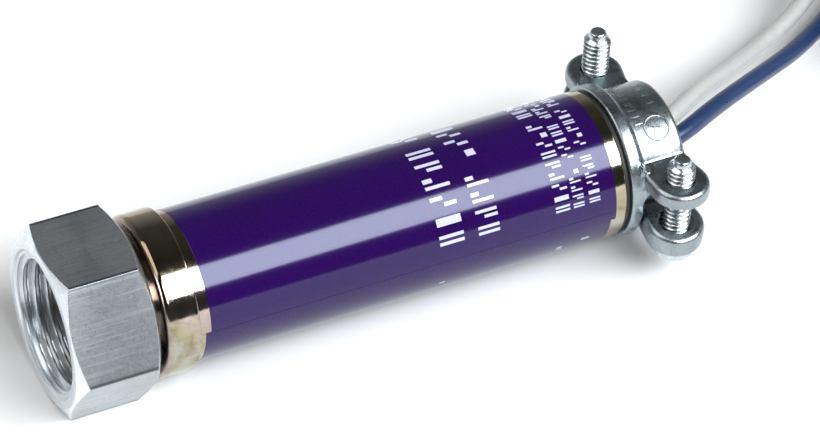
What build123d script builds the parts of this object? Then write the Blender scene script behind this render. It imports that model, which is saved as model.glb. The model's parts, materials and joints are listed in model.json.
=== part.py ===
from build123d import *
import math
import os

# Flame sensor probe, in millimetres.
# X runs along the probe, from the pipe thread's mouth to the conduit clamp.
# Z is up, square to the collar's top flat, and the clamp screws stand along it.
# The origin is on the probe's axis, where the pipe thread's full wall starts.

# ---- driving dimensions -----------------------------------------------------

# how far a cut runs past the solid that it opens
cut_margin = 1.0

# mounting collar: a hexagon that turns freely on the sight spud
collar_length = 13.07
collar_wall = 2.54
collar_front_face_inset = 0.31
collar_rear_face_inset = 0.78
collar_chamfer_deg = 28.0
collar_rear_wall = 2.27
mouth_flare = 1.94
countersink_depth = 1.2
thread_minor_r = 9.16
thread_length = 6.7
thread_pitch = 1.814
thread_turns = 3
thread_groove_depth = 1.0
thread_groove_width = 1.2
thread_groove_run_out = 0.2
relief_depth = 0.29
swivel_clearance = 0.08
swivel_end_play = 0.2

# sight spud: the flanged neck that carries the collar
spud_lip_thickness = 1.4
spud_lip_clearance = 0.16
spud_lip_step = 1.5
spud_neck_wall = 1.5
spud_tenon_step = 0.4
collar_to_cap_gap = 1.13
seal_washer_thickness = 1.2
seal_washer_step = 0.4

# front cap and housing tube
cap_wall = 0.93
cap_length = 5.1
cap_front_wall = 1.2
cap_edge_radius = 1.1
tube_r = 11.1
tube_wall = 0.8
label_thickness = 0.08
label_front_gap = 1.84
label_rear_gap = 1.76
label_seam_gap_deg = 1.5
label_seam_deg = 92.0

# window stack behind the cap's front wall
window_clearance = 0.5
window_thickness = 2.0
window_gasket_thickness = 0.8
window_gasket_step = 0.8
retainer_length = 3.0
retainer_width = 2.8

# ultraviolet tube and its carrier
liner_thickness = 0.25
cushion_thickness = 2.85
cushion_length = 4.0
cushion_inset = 5.0
glass_wall = 0.6
glass_length = 28.0
glass_front_gap = 3.5
glass_base_thickness = 3.0
pin_r = 0.5
pin_inset = 1.8
pin_tail = 3.5
electrode_clearance = 0.7
electrode_thickness = 0.4
electrode_gap = 2.6
electrode_depth = 9.0
electrode_arm_width = 1.2
electrode_arm_overlap = 0.3
grid_ring_width = 0.7
grid_bar_width = 0.45
grid_bars = 3
socket_length = 6.0
sleeve_front_gap = 1.0
sleeve_length = 8.0
sleeve_wall = 0.4
wiring_bay_length = 13.2
plug_length = 5.5
plug_rear_gap = 2.0

# clamp connector: throat, flange, arch and two tapped ears
throat_length = 8.0
throat_wall = 2.1
gasket_thickness = 0.76
gasket_inset = 0.2
flange_thickness = 2.2
flange_overhang = 0.5
flange_hole_step = 0.8
arch_seat_step = 0.9
arch_wall = 1.8
arch_length = 7.8
ear_wall = 2.35
ear_front_overlap = 0.2
ear_top_z = 5.5
ear_thickness = 2.6
ear_edge_radius = 0.5
ear_root_depth = 1.5
ear_root_overlap = 0.2
bushing_wall = 1.4
bushing_lip_clearance = 0.1
bushing_lip_length = 1.0
bushing_rear_reach = 0.4

# clamp strap, hanging a little askew on its screws
strap_tilt_deg = 7.2
strap_z = -1.0
strap_thickness = 3.6
strap_front_clearance = 0.4
strap_arc_rise = 1.0
strap_hole_clearance = 0.55

# clamp screws
screw_r = 2.05
screw_pitch = 0.79375
screw_thread_depth = 0.4
screw_crest_width = 0.08
screw_lead_in = 0.5
screw_length = 16.05
screw_clearance = 0.05
dog_point_step = 0.77
dog_point_length = 0.9
head_overhang = 1.0
head_height = 1.6
head_edge_radius = 0.5
head_to_arch_gap = 0.35
head_seat_clearance = 0.05
slot_width = 1.1
slot_depth = 0.9

# leads
lead_r = 1.4
lead_gap = 0.8
lead_rear_reach = 1.0
tail_bend_radius = 6.0
tail_straight = 1.5
conductor_r = 0.55
conductor_length = 9.0
coil_centre = (170.8, 20.0)
coil_mean_r = 17.0
coil_columns = 4
coil_layers = 4
coil_turn_gap = 0.05
coil_gap = 0.1
tie_thickness = 0.8
tie_width = 4.0
tie_clearance = 0.1
tie_angles = (-10.0, 190.0)
white_end_deg = -62.0
blue_end_deg = -80.0

# Each lead's free stretch: straight out of the connector, sagging to the coils.
white_points = [
    (88.0, 1.8, 0.0),
    (91.5, 1.8, 0.0),
    (99.5, 2.6, 0.9),
    (108.0, 7.9, 0.3),
    (117.6, 13.6, -2.7),
    (128.5, 20.8, -6.2),
    (139.0, 27.0, -6.2),
    (149.0, 33.0, 0.6),
    (159.9, 38.2, 2.4),
]
blue_points = [
    (88.0, -1.8, 0.0),
    (91.5, -1.8, 0.0),
    (100.0, -1.1, 1.1),
    (109.2, 3.9, 0.2),
    (120.6, 10.6, -3.0),
    (133.3, 18.4, -7.2),
    (146.2, 28.4, -10.2),
    (159.1, 37.8, -10.4),
]

# ---- sizes and stations worked out from them -----------------------------------

# radii, from the thread's and the tube's
collar_across_flats = 2 * (thread_minor_r + thread_groove_depth + collar_wall)
mouth_r = thread_minor_r + mouth_flare
relief_r = thread_minor_r + relief_depth
spud_lip_r = thread_minor_r - spud_lip_clearance
spud_neck_r = spud_lip_r - spud_lip_step
spud_bore_r = spud_neck_r - spud_neck_wall
spud_tenon_r = spud_neck_r - spud_tenon_step
seal_washer_inner_r = spud_bore_r + seal_washer_step
cap_r = tube_r + cap_wall
tube_inner_r = tube_r - tube_wall
window_r = tube_inner_r - window_clearance
window_gasket_inner_r = spud_bore_r + window_gasket_step
retainer_inner_r = tube_inner_r - retainer_width
liner_inner_r = tube_inner_r - liner_thickness
glass_r = liner_inner_r - cushion_thickness
pin_offset = glass_r - pin_inset
electrode_r = pin_offset - pin_r - electrode_clearance
throat_inner_r = tube_inner_r - throat_wall
flange_r = tube_r + flange_overhang
flange_hole_r = throat_inner_r - flange_hole_step
gasket_r = tube_r - gasket_inset
bushing_inner_r = flange_hole_r - bushing_wall
bushing_lip_r = throat_inner_r - bushing_lip_clearance
arch_inner_r = flange_hole_r + arch_seat_step
arch_outer_r = arch_inner_r + arch_wall
strap_hole_r = screw_r + strap_hole_clearance
dog_point_r = screw_r - dog_point_step
head_r = screw_r + head_overhang
ear_r = screw_r + ear_wall
ear_spread = arch_outer_r + head_r + head_to_arch_gap
lead_offset = lead_r + lead_gap / 2

# stations along the probe, from the mouth to the clamp
mouth_x = -countersink_depth
collar_rear_x = mouth_x + collar_length
collar_wall_x = collar_rear_x - collar_rear_wall
lip_rear_x = collar_wall_x - swivel_end_play
lip_front_x = lip_rear_x - spud_lip_thickness
cap_front_x = collar_rear_x + collar_to_cap_gap
cap_floor_x = cap_front_x + cap_front_wall
cap_rear_x = cap_front_x + cap_length
window_x = cap_floor_x + window_gasket_thickness
rear_gasket_x = window_x + window_thickness
retainer_x = rear_gasket_x + window_gasket_thickness
liner_x = retainer_x + retainer_length
glass_x = liner_x + glass_front_gap
glass_end_x = glass_x + glass_length
socket_end_x = glass_end_x + socket_length
pin_end_x = socket_end_x + pin_tail
sleeve_x = socket_end_x + sleeve_front_gap
sleeve_end_x = sleeve_x + sleeve_length
plug_x = socket_end_x + wiring_bay_length
plug_end_x = plug_x + plug_length
throat_x = plug_end_x + plug_rear_gap
flange_x = throat_x + throat_length
tube_end_x = flange_x - gasket_thickness
flange_rear_x = flange_x + flange_thickness
arch_rear_x = flange_rear_x + arch_length
ear_x = flange_rear_x + ear_r - ear_front_overlap
lead_start_x = flange_x + lead_rear_reach
label_front_x = cap_rear_x + label_front_gap
label_rear_x = tube_end_x - label_rear_gap

# the leads' coils, stacked on the surface that the probe lies on
floor_z = -collar_across_flats / 2
coil_pitch = 2 * lead_r + coil_turn_gap
coil_half = coil_columns * coil_pitch / 2
coil_outer_r = coil_mean_r + coil_half
coil_inner_r = coil_mean_r - coil_half
coil_height = coil_layers * coil_pitch
lower_coil_z = floor_z + tie_thickness + tie_clearance
upper_coil_z = lower_coil_z + coil_height + coil_gap
stack_top_z = upper_coil_z + coil_height + tie_clearance + tie_thickness


# ---- helpers ----------------------------------------------------------------


def turned(*profile):
    """A solid turned about the X axis from a closed outline of (x, radius) points."""
    face = make_face(Polyline(*profile, close=True))
    return revolve(face, Axis.X)


def ring(x0, x1, inner_r, outer_r):
    """A plain ring about the X axis."""
    return turned((x0, inner_r), (x1, inner_r), (x1, outer_r), (x0, outer_r))


def rod_x(x0, x1, radius, y=0.0, z=0.0):
    """A round rod along X."""
    return Pos((x0 + x1) / 2, y, z) * Rot(0, 90, 0) * Cylinder(radius, x1 - x0)


def rod_z(z0, z1, radius, x=0.0, y=0.0):
    """A round rod along Z."""
    return Pos(x, y, (z0 + z1) / 2) * Cylinder(radius, z1 - z0)


def block(x0, x1, y0, y1, z0, z1):
    """A box between two corners."""
    centre = Pos((x0 + x1) / 2, (y0 + y1) / 2, (z0 + z1) / 2)
    return centre * Box(x1 - x0, y1 - y0, z1 - z0)


def save(name, solid):
    """Writes one sub-part to its own file."""
    solid.label = name
    export_step(solid, f"parts/{name}.step")


# ---- mounting collar ---------------------------------------------------------


def mounting_collar():
    corner_r = collar_across_flats / math.sqrt(3)
    front_face_r = collar_across_flats / 2 - collar_front_face_inset
    rear_face_r = collar_across_flats / 2 - collar_rear_face_inset
    slope = math.tan(math.radians(collar_chamfer_deg))
    hexagon = RegularPolygon(collar_across_flats / 2, 6, major_radius=False)
    bar = extrude(Plane.YZ.offset(mouth_x) * hexagon, collar_length)
    body = bar & turned(
        (mouth_x, 0),
        (mouth_x, front_face_r),
        (mouth_x + (corner_r - front_face_r) * slope, corner_r),
        (collar_rear_x - (corner_r - rear_face_r) * slope, corner_r),
        (collar_rear_x, rear_face_r),
        (collar_rear_x, 0),
    )
    body -= turned(
        (mouth_x - cut_margin, 0),
        (mouth_x - cut_margin, mouth_r),
        (mouth_x, mouth_r),
        (0, thread_minor_r),
        (thread_length, thread_minor_r),
        (thread_length, relief_r),
        (collar_wall_x, relief_r),
        (collar_wall_x, 0),
    )
    for turn in range(thread_turns):
        body -= thread_groove((turn + 0.5) * thread_pitch)
    hole_r = spud_neck_r + swivel_clearance
    return body - rod_x(collar_wall_x - cut_margin, collar_rear_x + cut_margin, hole_r)


def thread_groove(x):
    """One ring groove of the pipe thread, run out a little inside the thread's crests."""
    flare = thread_groove_width / 2 * (1 + thread_groove_run_out / thread_groove_depth)
    crest_r = thread_minor_r - thread_groove_run_out
    return turned((x - flare, crest_r), (x, thread_minor_r + thread_groove_depth), (x + flare, crest_r))


# ---- sight spud and its seal --------------------------------------------------


def sight_spud():
    return turned(
        (lip_front_x, spud_bore_r),
        (lip_front_x, spud_lip_r),
        (lip_rear_x, spud_lip_r),
        (lip_rear_x, spud_neck_r),
        (cap_front_x, spud_neck_r),
        (cap_front_x, spud_tenon_r),
        (cap_floor_x, spud_tenon_r),
        (cap_floor_x, spud_bore_r),
    )


def pipe_seal_washer():
    front = lip_front_x - seal_washer_thickness
    return ring(front, lip_front_x, seal_washer_inner_r, spud_lip_r)


# ---- cap, tube and label -------------------------------------------------------


def front_cap():
    cup = turned(
        (cap_front_x, spud_tenon_r),
        (cap_front_x, cap_r),
        (cap_rear_x, cap_r),
        (cap_rear_x, tube_r),
        (cap_floor_x, tube_r),
        (cap_floor_x, spud_tenon_r),
    )
    rims = cup.edges().filter_by(GeomType.CIRCLE)
    front_rims = rims.group_by(Axis.X)[0]
    return fillet(front_rims.sort_by(SortBy.RADIUS)[-1], cap_edge_radius)


def housing_tube():
    return ring(cap_floor_x, tube_end_x, tube_inner_r, tube_r)


def wrap_label():
    """A thin sleeve with a narrow seam on the probe's front side."""
    sleeve = ring(label_front_x, label_rear_x, tube_r, tube_r + label_thickness)
    width = tube_r * math.radians(label_seam_gap_deg)
    cut = (label_front_x - cut_margin, label_rear_x + cut_margin)
    seam = block(*cut, -width / 2, width / 2, tube_r - cut_margin, tube_r + cut_margin)
    return sleeve - Rot(label_seam_deg, 0, 0) * seam


# ---- window stack ---------------------------------------------------------------


def window_gasket(x):
    return ring(x, x + window_gasket_thickness, window_gasket_inner_r, window_r)


def quartz_window():
    return rod_x(window_x, window_x + window_thickness, window_r)


def window_retainer():
    return ring(retainer_x, liner_x, retainer_inner_r, tube_inner_r)


# ---- ultraviolet tube -------------------------------------------------------------


def glass_envelope():
    """A closed glass bulb with a rounded nose and a thick pressed base."""

    def bulb(front, radius, end):
        start = front + radius
        arc = CenterArc((start, 0), radius, 90, 90)
        lines = Polyline((start, radius), (end, radius), (end, 0), (front, 0))
        return revolve(make_face(arc.edges() + lines.edges()), Axis.X)

    outer = bulb(glass_x, glass_r, glass_end_x)
    base_x = glass_end_x - glass_base_thickness
    inner = bulb(glass_x + glass_wall, glass_r - glass_wall, base_x)
    body = outer - inner
    for side in (-1, 1):
        body -= rod_x(base_x - cut_margin, glass_end_x + cut_margin, pin_r, side * pin_offset)
    return body


def electrode(x, side, grid):
    """A plate or a grid, with an arm to its pin."""
    rear_x = x + electrode_thickness
    plate = rod_x(x, rear_x, electrode_r)
    if grid:
        opening_r = electrode_r - grid_ring_width
        half_bar = grid_bar_width / 2
        plate -= rod_x(x - cut_margin, rear_x + cut_margin, opening_r)
        for bar in range(grid_bars):
            across = opening_r * (2 * (bar + 1) / (grid_bars + 1) - 1)
            reach = math.sqrt((electrode_r - grid_ring_width / 2) ** 2 - across**2)
            plate += Pos(0, across, 0) * block(x, rear_x, -half_bar, half_bar, -reach, reach)
    half_arm = electrode_arm_width / 2
    y0, y1 = sorted((side * (electrode_r - electrode_arm_overlap), side * pin_offset))
    arm = block(x, rear_x, y0, y1, -half_arm, half_arm)
    pin = rod_x(x, pin_end_x, pin_r, side * pin_offset)
    return plate + arm + pin


def tube_socket():
    body = rod_x(glass_end_x, socket_end_x, liner_inner_r)
    for side in (-1, 1):
        body -= rod_x(glass_end_x - cut_margin, socket_end_x + cut_margin, pin_r, side * pin_offset)
    return body


def tube_cushion():
    x = glass_x + glass_r + cushion_inset
    return ring(x, x + cushion_length, glass_r, liner_inner_r)


def insulating_liner():
    return ring(liner_x, plug_x, liner_inner_r, tube_inner_r)


def solder_sleeve(side):
    outer = rod_x(sleeve_x, sleeve_end_x, lead_r + sleeve_wall, side * pin_offset)
    return outer - rod_x(sleeve_x - cut_margin, sleeve_end_x + cut_margin, lead_r, side * pin_offset)


def lead_tail(side):
    """The stretch of a lead inside the housing, from its pin to the connector."""
    path = FilletPolyline(
        (pin_end_x, side * pin_offset, 0),
        (sleeve_end_x + tail_straight, side * pin_offset, 0),
        (plug_end_x, side * lead_offset, 0),
        (lead_start_x, side * lead_offset, 0),
        radius=tail_bend_radius,
    )
    section = Plane(path @ 0, z_dir=path % 0) * Circle(lead_r)
    return sweep(section, path)


def potting_plug(tails):
    body = rod_x(plug_x, plug_end_x, tube_inner_r)
    for tail in tails:
        body -= tail
    return body


# ---- clamp connector ---------------------------------------------------------------


def ear_outline(side, start_x):
    """The outline of one ear: a round end blended into its root."""
    round_end = Pos(ear_x, side * ear_spread) * Circle(ear_r)
    root_y = arch_inner_r - ear_root_overlap
    root = Polyline(
        (start_x, side * root_y),
        (arch_rear_x, side * root_y),
        (arch_rear_x, side * (root_y + ear_root_depth)),
        (start_x, side * (root_y + ear_root_depth)),
        close=True,
    )
    return make_hull(round_end.edges() + root.edges())


def ears(top_z, thickness, start_x, hole_r):
    """Two ears whose round ends have a rolled upper edge."""
    body = Part()
    low_z = top_z - thickness
    for side in (-1, 1):
        plate = extrude(Plane.XY.offset(low_z) * ear_outline(side, start_x), thickness)
        round_edges = plate.edges().filter_by(GeomType.CIRCLE)
        plate = fillet(round_edges.group_by(Axis.Z)[-1], ear_edge_radius)
        plate -= rod_z(low_z - cut_margin, top_z + cut_margin, hole_r, ear_x, side * ear_spread)
        body += plate
    return body


def half_arch(start_x, low_z, high_z):
    """The part of the arch's ring between two heights."""
    arch = ring(start_x, arch_rear_x, arch_inner_r, arch_outer_r)
    reach = arch_outer_r + cut_margin
    return arch & block(start_x - cut_margin, arch_rear_x + cut_margin, -reach, reach, low_z, high_z)


def connector_body():
    sleeve = turned(
        (throat_x, throat_inner_r),
        (throat_x, tube_inner_r),
        (flange_x, tube_inner_r),
        (flange_x, flange_r),
        (flange_rear_x, flange_r),
        (flange_rear_x, flange_hole_r),
        (flange_x, flange_hole_r),
        (flange_x, throat_inner_r),
    )
    body = sleeve + half_arch(flange_rear_x, ear_top_z - ear_thickness, arch_outer_r)
    body += ears(ear_top_z, ear_thickness, flange_rear_x, screw_r + screw_clearance)
    return body - rod_x(flange_rear_x, arch_rear_x + cut_margin, arch_inner_r)


def connector_gasket():
    return ring(tube_end_x, flange_x, tube_inner_r, gasket_r)


def throat_bushing():
    lip_x = flange_x - bushing_lip_length
    rear_x = flange_rear_x + bushing_rear_reach
    return turned(
        (lip_x, bushing_inner_r),
        (lip_x, bushing_lip_r),
        (flange_x, bushing_lip_r),
        (flange_x, flange_hole_r),
        (rear_x, flange_hole_r),
        (rear_x, bushing_inner_r),
    )


def clamp_strap():
    """The loose lower half of the clamp, tilted about X as it hangs on its screws."""
    start_x = flange_rear_x + strap_front_clearance
    risen = Pos(0, 0, strap_arc_rise)
    body = risen * half_arch(start_x, -arch_outer_r, -strap_arc_rise)
    body += ears(0, strap_thickness, start_x, strap_hole_r)
    body -= risen * rod_x(start_x - cut_margin, arch_rear_x + cut_margin, arch_inner_r)
    return Pos(0, 0, strap_z) * Rot(strap_tilt_deg, 0, 0) * body


def seat_z(side):
    """Where a screw's head meets the underside of the tilted strap."""
    tilt = math.radians(strap_tilt_deg)
    under = strap_z + side * ear_spread * math.tan(tilt) - strap_thickness / math.cos(tilt)
    return under - head_r * math.tan(tilt) - head_seat_clearance


def clamp_screw(side):
    """A slotted pan-head screw, head down, with a dog point."""
    seat = seat_z(side)
    tip = seat + screw_length
    shoulder = tip - dog_point_length
    root_r = screw_r - screw_thread_depth
    flank = (screw_pitch - screw_crest_width) / 2
    outline = [(0, seat), (screw_r, seat)]
    z = seat + screw_pitch
    while z + screw_pitch < shoulder - screw_lead_in:
        outline += [(screw_r, z), (root_r, z + flank), (screw_r, z + 2 * flank)]
        z += screw_pitch
    outline += [(screw_r, shoulder - screw_lead_in), (dog_point_r, shoulder), (dog_point_r, tip), (0, tip)]
    face = make_face(Polyline(*[(r, 0, h) for r, h in outline], close=True))
    shank = revolve(face, Axis.Z)
    head = Pos(0, 0, seat - head_height / 2) * Cylinder(head_r, head_height)
    lower_rim = head.edges().filter_by(GeomType.CIRCLE).sort_by(Axis.Z)[0]
    head = fillet(lower_rim, head_edge_radius)
    slot = Pos(0, 0, seat - head_height) * Box(2 * head_r + cut_margin, slot_width, 2 * slot_depth)
    return Pos(ear_x, side * ear_spread, 0) * (shank + (head - slot))


# ---- leads -----------------------------------------------------------------------


def corner_radii(points):
    """One radius for each inner point, as large as its two runs allow."""
    radii = []
    for a, b, c in zip(points, points[1:], points[2:]):
        before, after = Vector(*b) - Vector(*a), Vector(*c) - Vector(*b)
        turn = math.radians(before.get_angle(after))
        radii.append(0.45 * min(before.length, after.length) / math.tan(turn / 2))
    return radii


def free_lead(name, points):
    radii = corner_radii(points)
    path = FilletPolyline(*points, radius=radii)
    section = Plane(path @ 0, z_dir=path % 0) * Circle(lead_r)
    tube = sweep(section, path)
    expected = math.pi * lead_r**2 * path.length
    print(name, "radii", [round(r, 1) for r in radii], "length", round(path.length, 1))
    print(name, "volume", round(tube.volume, 1), "section times length", round(expected, 1))
    return tube


def coil_ring(base_z):
    """The outer shape of one neat coil lying flat."""
    middle = Rectangle(2 * coil_half, coil_height)
    section = fillet(middle.vertices(), lead_r)
    placed = Plane.XZ * Pos(coil_mean_r, base_z + coil_height / 2) * section
    return Pos(*coil_centre, 0) * revolve(placed, Axis.Z)


def bare_end(layer_z, angle_deg):
    """The stripped conductor where a lead leaves its coil, along the coil's tangent."""
    angle = math.radians(angle_deg)
    turn_r = coil_outer_r - coil_pitch / 2
    run = math.sqrt(coil_outer_r**2 - turn_r**2)
    along = Vector(math.sin(angle), -math.cos(angle), 0)
    outward = Vector(math.cos(angle), math.sin(angle), 0)
    start = Vector(*coil_centre, layer_z) + outward * turn_r + along * run
    return Plane(start, z_dir=along) * Cylinder(
        conductor_r, conductor_length, align=(Align.CENTER, Align.CENTER, Align.MIN)
    )


def coil_ties():
    """Two flat bands that hold both coils together."""
    inner_x = math.sqrt(coil_inner_r**2 - (tie_width / 2) ** 2) - tie_clearance
    outer_x = coil_outer_r + tie_clearance
    width = outer_x - inner_x
    height = stack_top_z - floor_z
    bands = []
    for angle in tie_angles:
        outer = Box(width + 2 * tie_thickness, tie_width, height)
        inner = Box(width, tie_width + cut_margin, height - 2 * tie_thickness)
        outer = fillet(outer.edges().filter_by(Axis.Y), 2 * tie_thickness)
        inner = fillet(inner.edges().filter_by(Axis.Y), tie_thickness)
        band = Pos((inner_x + outer_x) / 2, 0, floor_z + height / 2) * (outer - inner)
        bands.append(Pos(*coil_centre, 0) * Rot(0, 0, angle) * band)
    return Compound(children=[b.solid() for b in bands])


# ---- build ------------------------------------------------------------------------

os.makedirs("parts", exist_ok=True)

save("mounting_collar", mounting_collar())
save("sight_spud", sight_spud())
save("pipe_seal_washer", pipe_seal_washer())
save("front_cap", front_cap())
save("housing_tube", housing_tube())
save("wrap_label", wrap_label())
save("window_gasket_front", window_gasket(cap_floor_x))
save("quartz_window", quartz_window())
save("window_gasket_rear", window_gasket(rear_gasket_x))
save("window_retainer", window_retainer())
save("insulating_liner", insulating_liner())
save("glass_envelope", glass_envelope())
save("anode_grid", electrode(glass_x + electrode_depth, -1, True))
save("cathode_plate", electrode(glass_x + electrode_depth + electrode_gap, 1, False))
save("tube_cushion", tube_cushion())
save("tube_socket", tube_socket())
save("solder_sleeve_white", solder_sleeve(1))
save("solder_sleeve_blue", solder_sleeve(-1))
white_tail = lead_tail(1)
blue_tail = lead_tail(-1)
save("lead_white_tail", white_tail)
save("lead_blue_tail", blue_tail)
save("potting_plug", potting_plug([white_tail, blue_tail]))
save("connector_gasket", connector_gasket())
save("connector_body", connector_body())
save("throat_bushing", throat_bushing())
save("clamp_strap", clamp_strap())
save("clamp_screw_near", clamp_screw(-1))
save("clamp_screw_far", clamp_screw(1))
save("lead_white", free_lead("lead_white", white_points))
save("lead_blue", free_lead("lead_blue", blue_points))
save("lead_white_coil", coil_ring(upper_coil_z))
save("lead_blue_coil", coil_ring(lower_coil_z))
save("lead_white_end", bare_end(upper_coil_z + coil_height - coil_pitch / 2, white_end_deg))
save("lead_blue_end", bare_end(lower_coil_z + coil_height - coil_pitch / 2, blue_end_deg))
save("coil_ties", coil_ties())
print("screw seats", round(seat_z(-1), 2), round(seat_z(1), 2), "floor", round(floor_z, 2))
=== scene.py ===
import json
import math

import bmesh
import bpy
from bpy.props import FloatProperty, FloatVectorProperty, IntProperty, PointerProperty
from mathutils import Matrix, Vector


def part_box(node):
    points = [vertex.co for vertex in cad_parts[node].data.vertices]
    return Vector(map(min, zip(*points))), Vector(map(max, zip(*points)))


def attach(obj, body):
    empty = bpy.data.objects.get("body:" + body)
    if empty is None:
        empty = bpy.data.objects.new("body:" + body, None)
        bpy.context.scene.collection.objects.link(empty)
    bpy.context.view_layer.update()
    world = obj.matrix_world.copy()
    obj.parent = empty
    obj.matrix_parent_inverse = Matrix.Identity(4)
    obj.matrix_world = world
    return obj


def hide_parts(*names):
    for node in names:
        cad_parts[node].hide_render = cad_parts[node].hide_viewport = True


bl_info = {
    "name": "Flame Sensor Probe",
    "version": (1, 0, 0),
    "blender": (4, 5, 0),
    "location": "View3D > Sidebar > Probe",
    "description": "Builds the visible pieces of an ultraviolet flame sensor probe",
    "category": "Add Mesh",
}

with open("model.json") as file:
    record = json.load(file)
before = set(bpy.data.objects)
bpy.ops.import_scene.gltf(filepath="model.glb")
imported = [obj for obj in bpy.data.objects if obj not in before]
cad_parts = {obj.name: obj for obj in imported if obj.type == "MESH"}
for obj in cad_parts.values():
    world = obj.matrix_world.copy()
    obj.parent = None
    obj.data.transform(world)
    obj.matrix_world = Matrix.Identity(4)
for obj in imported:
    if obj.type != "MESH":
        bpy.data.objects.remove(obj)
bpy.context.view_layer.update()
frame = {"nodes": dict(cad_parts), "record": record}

# X runs along the probe from the threaded mouth to the clamp, and Z is up.
# Angles round the probe are measured from the top towards the side that faces -Y.
MM = 0.001


# ---- sizes and colours ---------------------------------------------------------------


def length(name, description, default):
    """A length that the user may change, in metres."""
    return FloatProperty(name=name, description=description, default=default, unit="LENGTH", precision=5)


def angle(name, description, degrees):
    """An angle that the user may change."""
    return FloatProperty(name=name, description=description, default=math.radians(degrees), unit="ROTATION")


def colour(name, description, default):
    """A colour that the user may change."""
    return FloatVectorProperty(
        name=name, description=description, default=default, subtype="COLOR", size=3, min=0.0, max=1.0
    )


class ProbeSizes(bpy.types.PropertyGroup):
    """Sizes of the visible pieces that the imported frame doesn't give."""

    mouth_radius: length("Mouth radius", "Radius of the countersink at the collar's face", 11.1 * MM)
    thread_radius: length("Thread crest radius", "Radius of the pipe thread's crests", 9.16 * MM)
    thread_pitch: length("Thread pitch", "Pitch of the pipe thread", 1.814 * MM)
    thread_depth: length("Thread depth", "Depth of the pipe thread", 0.8 * MM)
    thread_length: length("Thread length", "Length of the pipe thread behind the countersink", 6.7 * MM)
    relief_radius: length("Relief radius", "Radius of the bore behind the thread", 9.45 * MM)
    swivel_radius: length("Swivel hole radius", "Radius of the hole that the spud's neck runs in", 7.58 * MM)
    collar_wall: length("Collar rear wall", "Thickness of the collar's rear wall", 2.27 * MM)
    front_face_radius: length("Front face radius", "Radius where the front chamfer starts", 12.39 * MM)
    rear_face_radius: length("Rear face radius", "Radius where the rear chamfer starts", 11.92 * MM)
    collar_chamfer: angle("Collar chamfer", "Slope of the chamfers on the hexagon's ends", 28.0)
    cap_edge: length("Cap edge radius", "Radius of the cap's rolled front edge", 1.1 * MM)
    label_thickness: length("Label thickness", "Thickness of the label's film", 0.045 * MM)
    label_overlap: length("Label overlap", "How far the film laps over itself at the seam", 1.6 * MM)
    label_skew: length("Label skew", "How far the film's two ends miss each other along the probe", 0.8 * MM)
    seam_angle: angle("Seam angle", "Where the film's seam lies", 92.0)
    cast_grain: length("Cast mesh size", "Spacing of the mesh that rounds the castings", 0.16 * MM)
    arch_inner_radius: length("Arch inner radius", "Radius of the conduit seat", 8.3 * MM)
    arch_outer_radius: length("Arch outer radius", "Outer radius of the arch", 10.1 * MM)
    ear_radius: length("Ear radius", "Radius of the clamp's ears", 4.4 * MM)
    ear_spread: length("Ear spread", "Distance of the clamp screws from the probe's axis", 13.5 * MM)
    ear_top: length("Ear top", "Height of the upper ears' top", 5.5 * MM)
    ear_thickness: length("Ear thickness", "Thickness of the upper ears", 2.6 * MM)
    screw_radius: length("Screw radius", "Radius of the clamp screws' crests", 2.05 * MM)
    screw_pitch: length("Screw pitch", "Pitch of the clamp screws", 0.79375 * MM)
    strap_tilt: angle("Strap tilt", "How far the strap hangs askew", 7.2)
    strap_height: length("Strap height", "Height of the strap's upper face at the probe's axis", -1.0 * MM)
    strap_thickness: length("Strap thickness", "Thickness of the strap's ears", 3.6 * MM)
    head_radius: length("Head radius", "Radius of the clamp screws' heads", 3.05 * MM)
    head_height: length("Head height", "Height of the clamp screws' heads", 1.6 * MM)
    lead_diameter: length("Lead diameter", "Diameter of each lead's insulation", 2.8 * MM)
    coil_radius: length("Coil radius", "Radius at the middle of the coils' turns", 17.0 * MM)
    coil_pitch: length("Coil pitch", "Distance between turns that lie side by side", 2.85 * MM)
    coil_columns: IntProperty(name="Coil columns", description="Turns side by side", default=4, min=1)
    coil_layers: IntProperty(name="Coil layers", description="Turns on top of each other", default=4, min=1)
    tie_thickness: length("Tie thickness", "Thickness of the bands round the coils", 0.8 * MM)


class ProbeColours(bpy.types.PropertyGroup):
    """Colours of the finishes."""

    steel: colour("Bar steel", "Machined hexagon bar", (0.42, 0.445, 0.465))
    chromate: colour("Chromate gold", "Yellow chromate on zinc plating", (0.42, 0.365, 0.235))
    violet: colour("Label violet", "Printed film of the label", (0.0116, 0.0013, 0.044))
    print_white: colour("Label print", "Pale marks on the label", (0.47, 0.47, 0.60))
    cast_zinc: colour("Cast zinc", "Die-cast clamp", (0.33, 0.375, 0.395))
    screw_zinc: colour("Screw zinc", "Plated clamp screws", (0.58, 0.64, 0.67))
    lead_white: colour("White lead", "Off-white insulation", (0.38, 0.38, 0.37))
    lead_blue: colour("Blue lead", "Blue insulation", (0.010, 0.027, 0.082))
    floor: colour("Floor", "Pale floor", (0.74, 0.74, 0.74))


# ---- meshes --------------------------------------------------------------------------


def new_object(name, vertices, faces):
    """A mesh object whose faces all look outwards."""
    mesh = bpy.data.meshes.new(name)
    mesh.from_pydata([tuple(v) for v in vertices], [], faces)
    shape = bmesh.new()
    shape.from_mesh(mesh)
    bmesh.ops.recalc_face_normals(shape, faces=shape.faces)
    shape.to_mesh(mesh)
    shape.free()
    piece = bpy.data.objects.new(name, mesh)
    bpy.context.scene.collection.objects.link(piece)
    return piece


def skin(rows, loop=True):
    """Faces between neighbouring closed rows. loop joins the last row to the first."""
    columns = len(rows[0])
    vertices = [point for row in rows for point in row]
    faces = []
    for row in range(len(rows) if loop else len(rows) - 1):
        after = (row + 1) % len(rows)
        for column in range(columns):
            beside = (column + 1) % columns
            faces.append(
                (
                    row * columns + column,
                    row * columns + beside,
                    after * columns + beside,
                    after * columns + column,
                )
            )
    return vertices, faces


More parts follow.
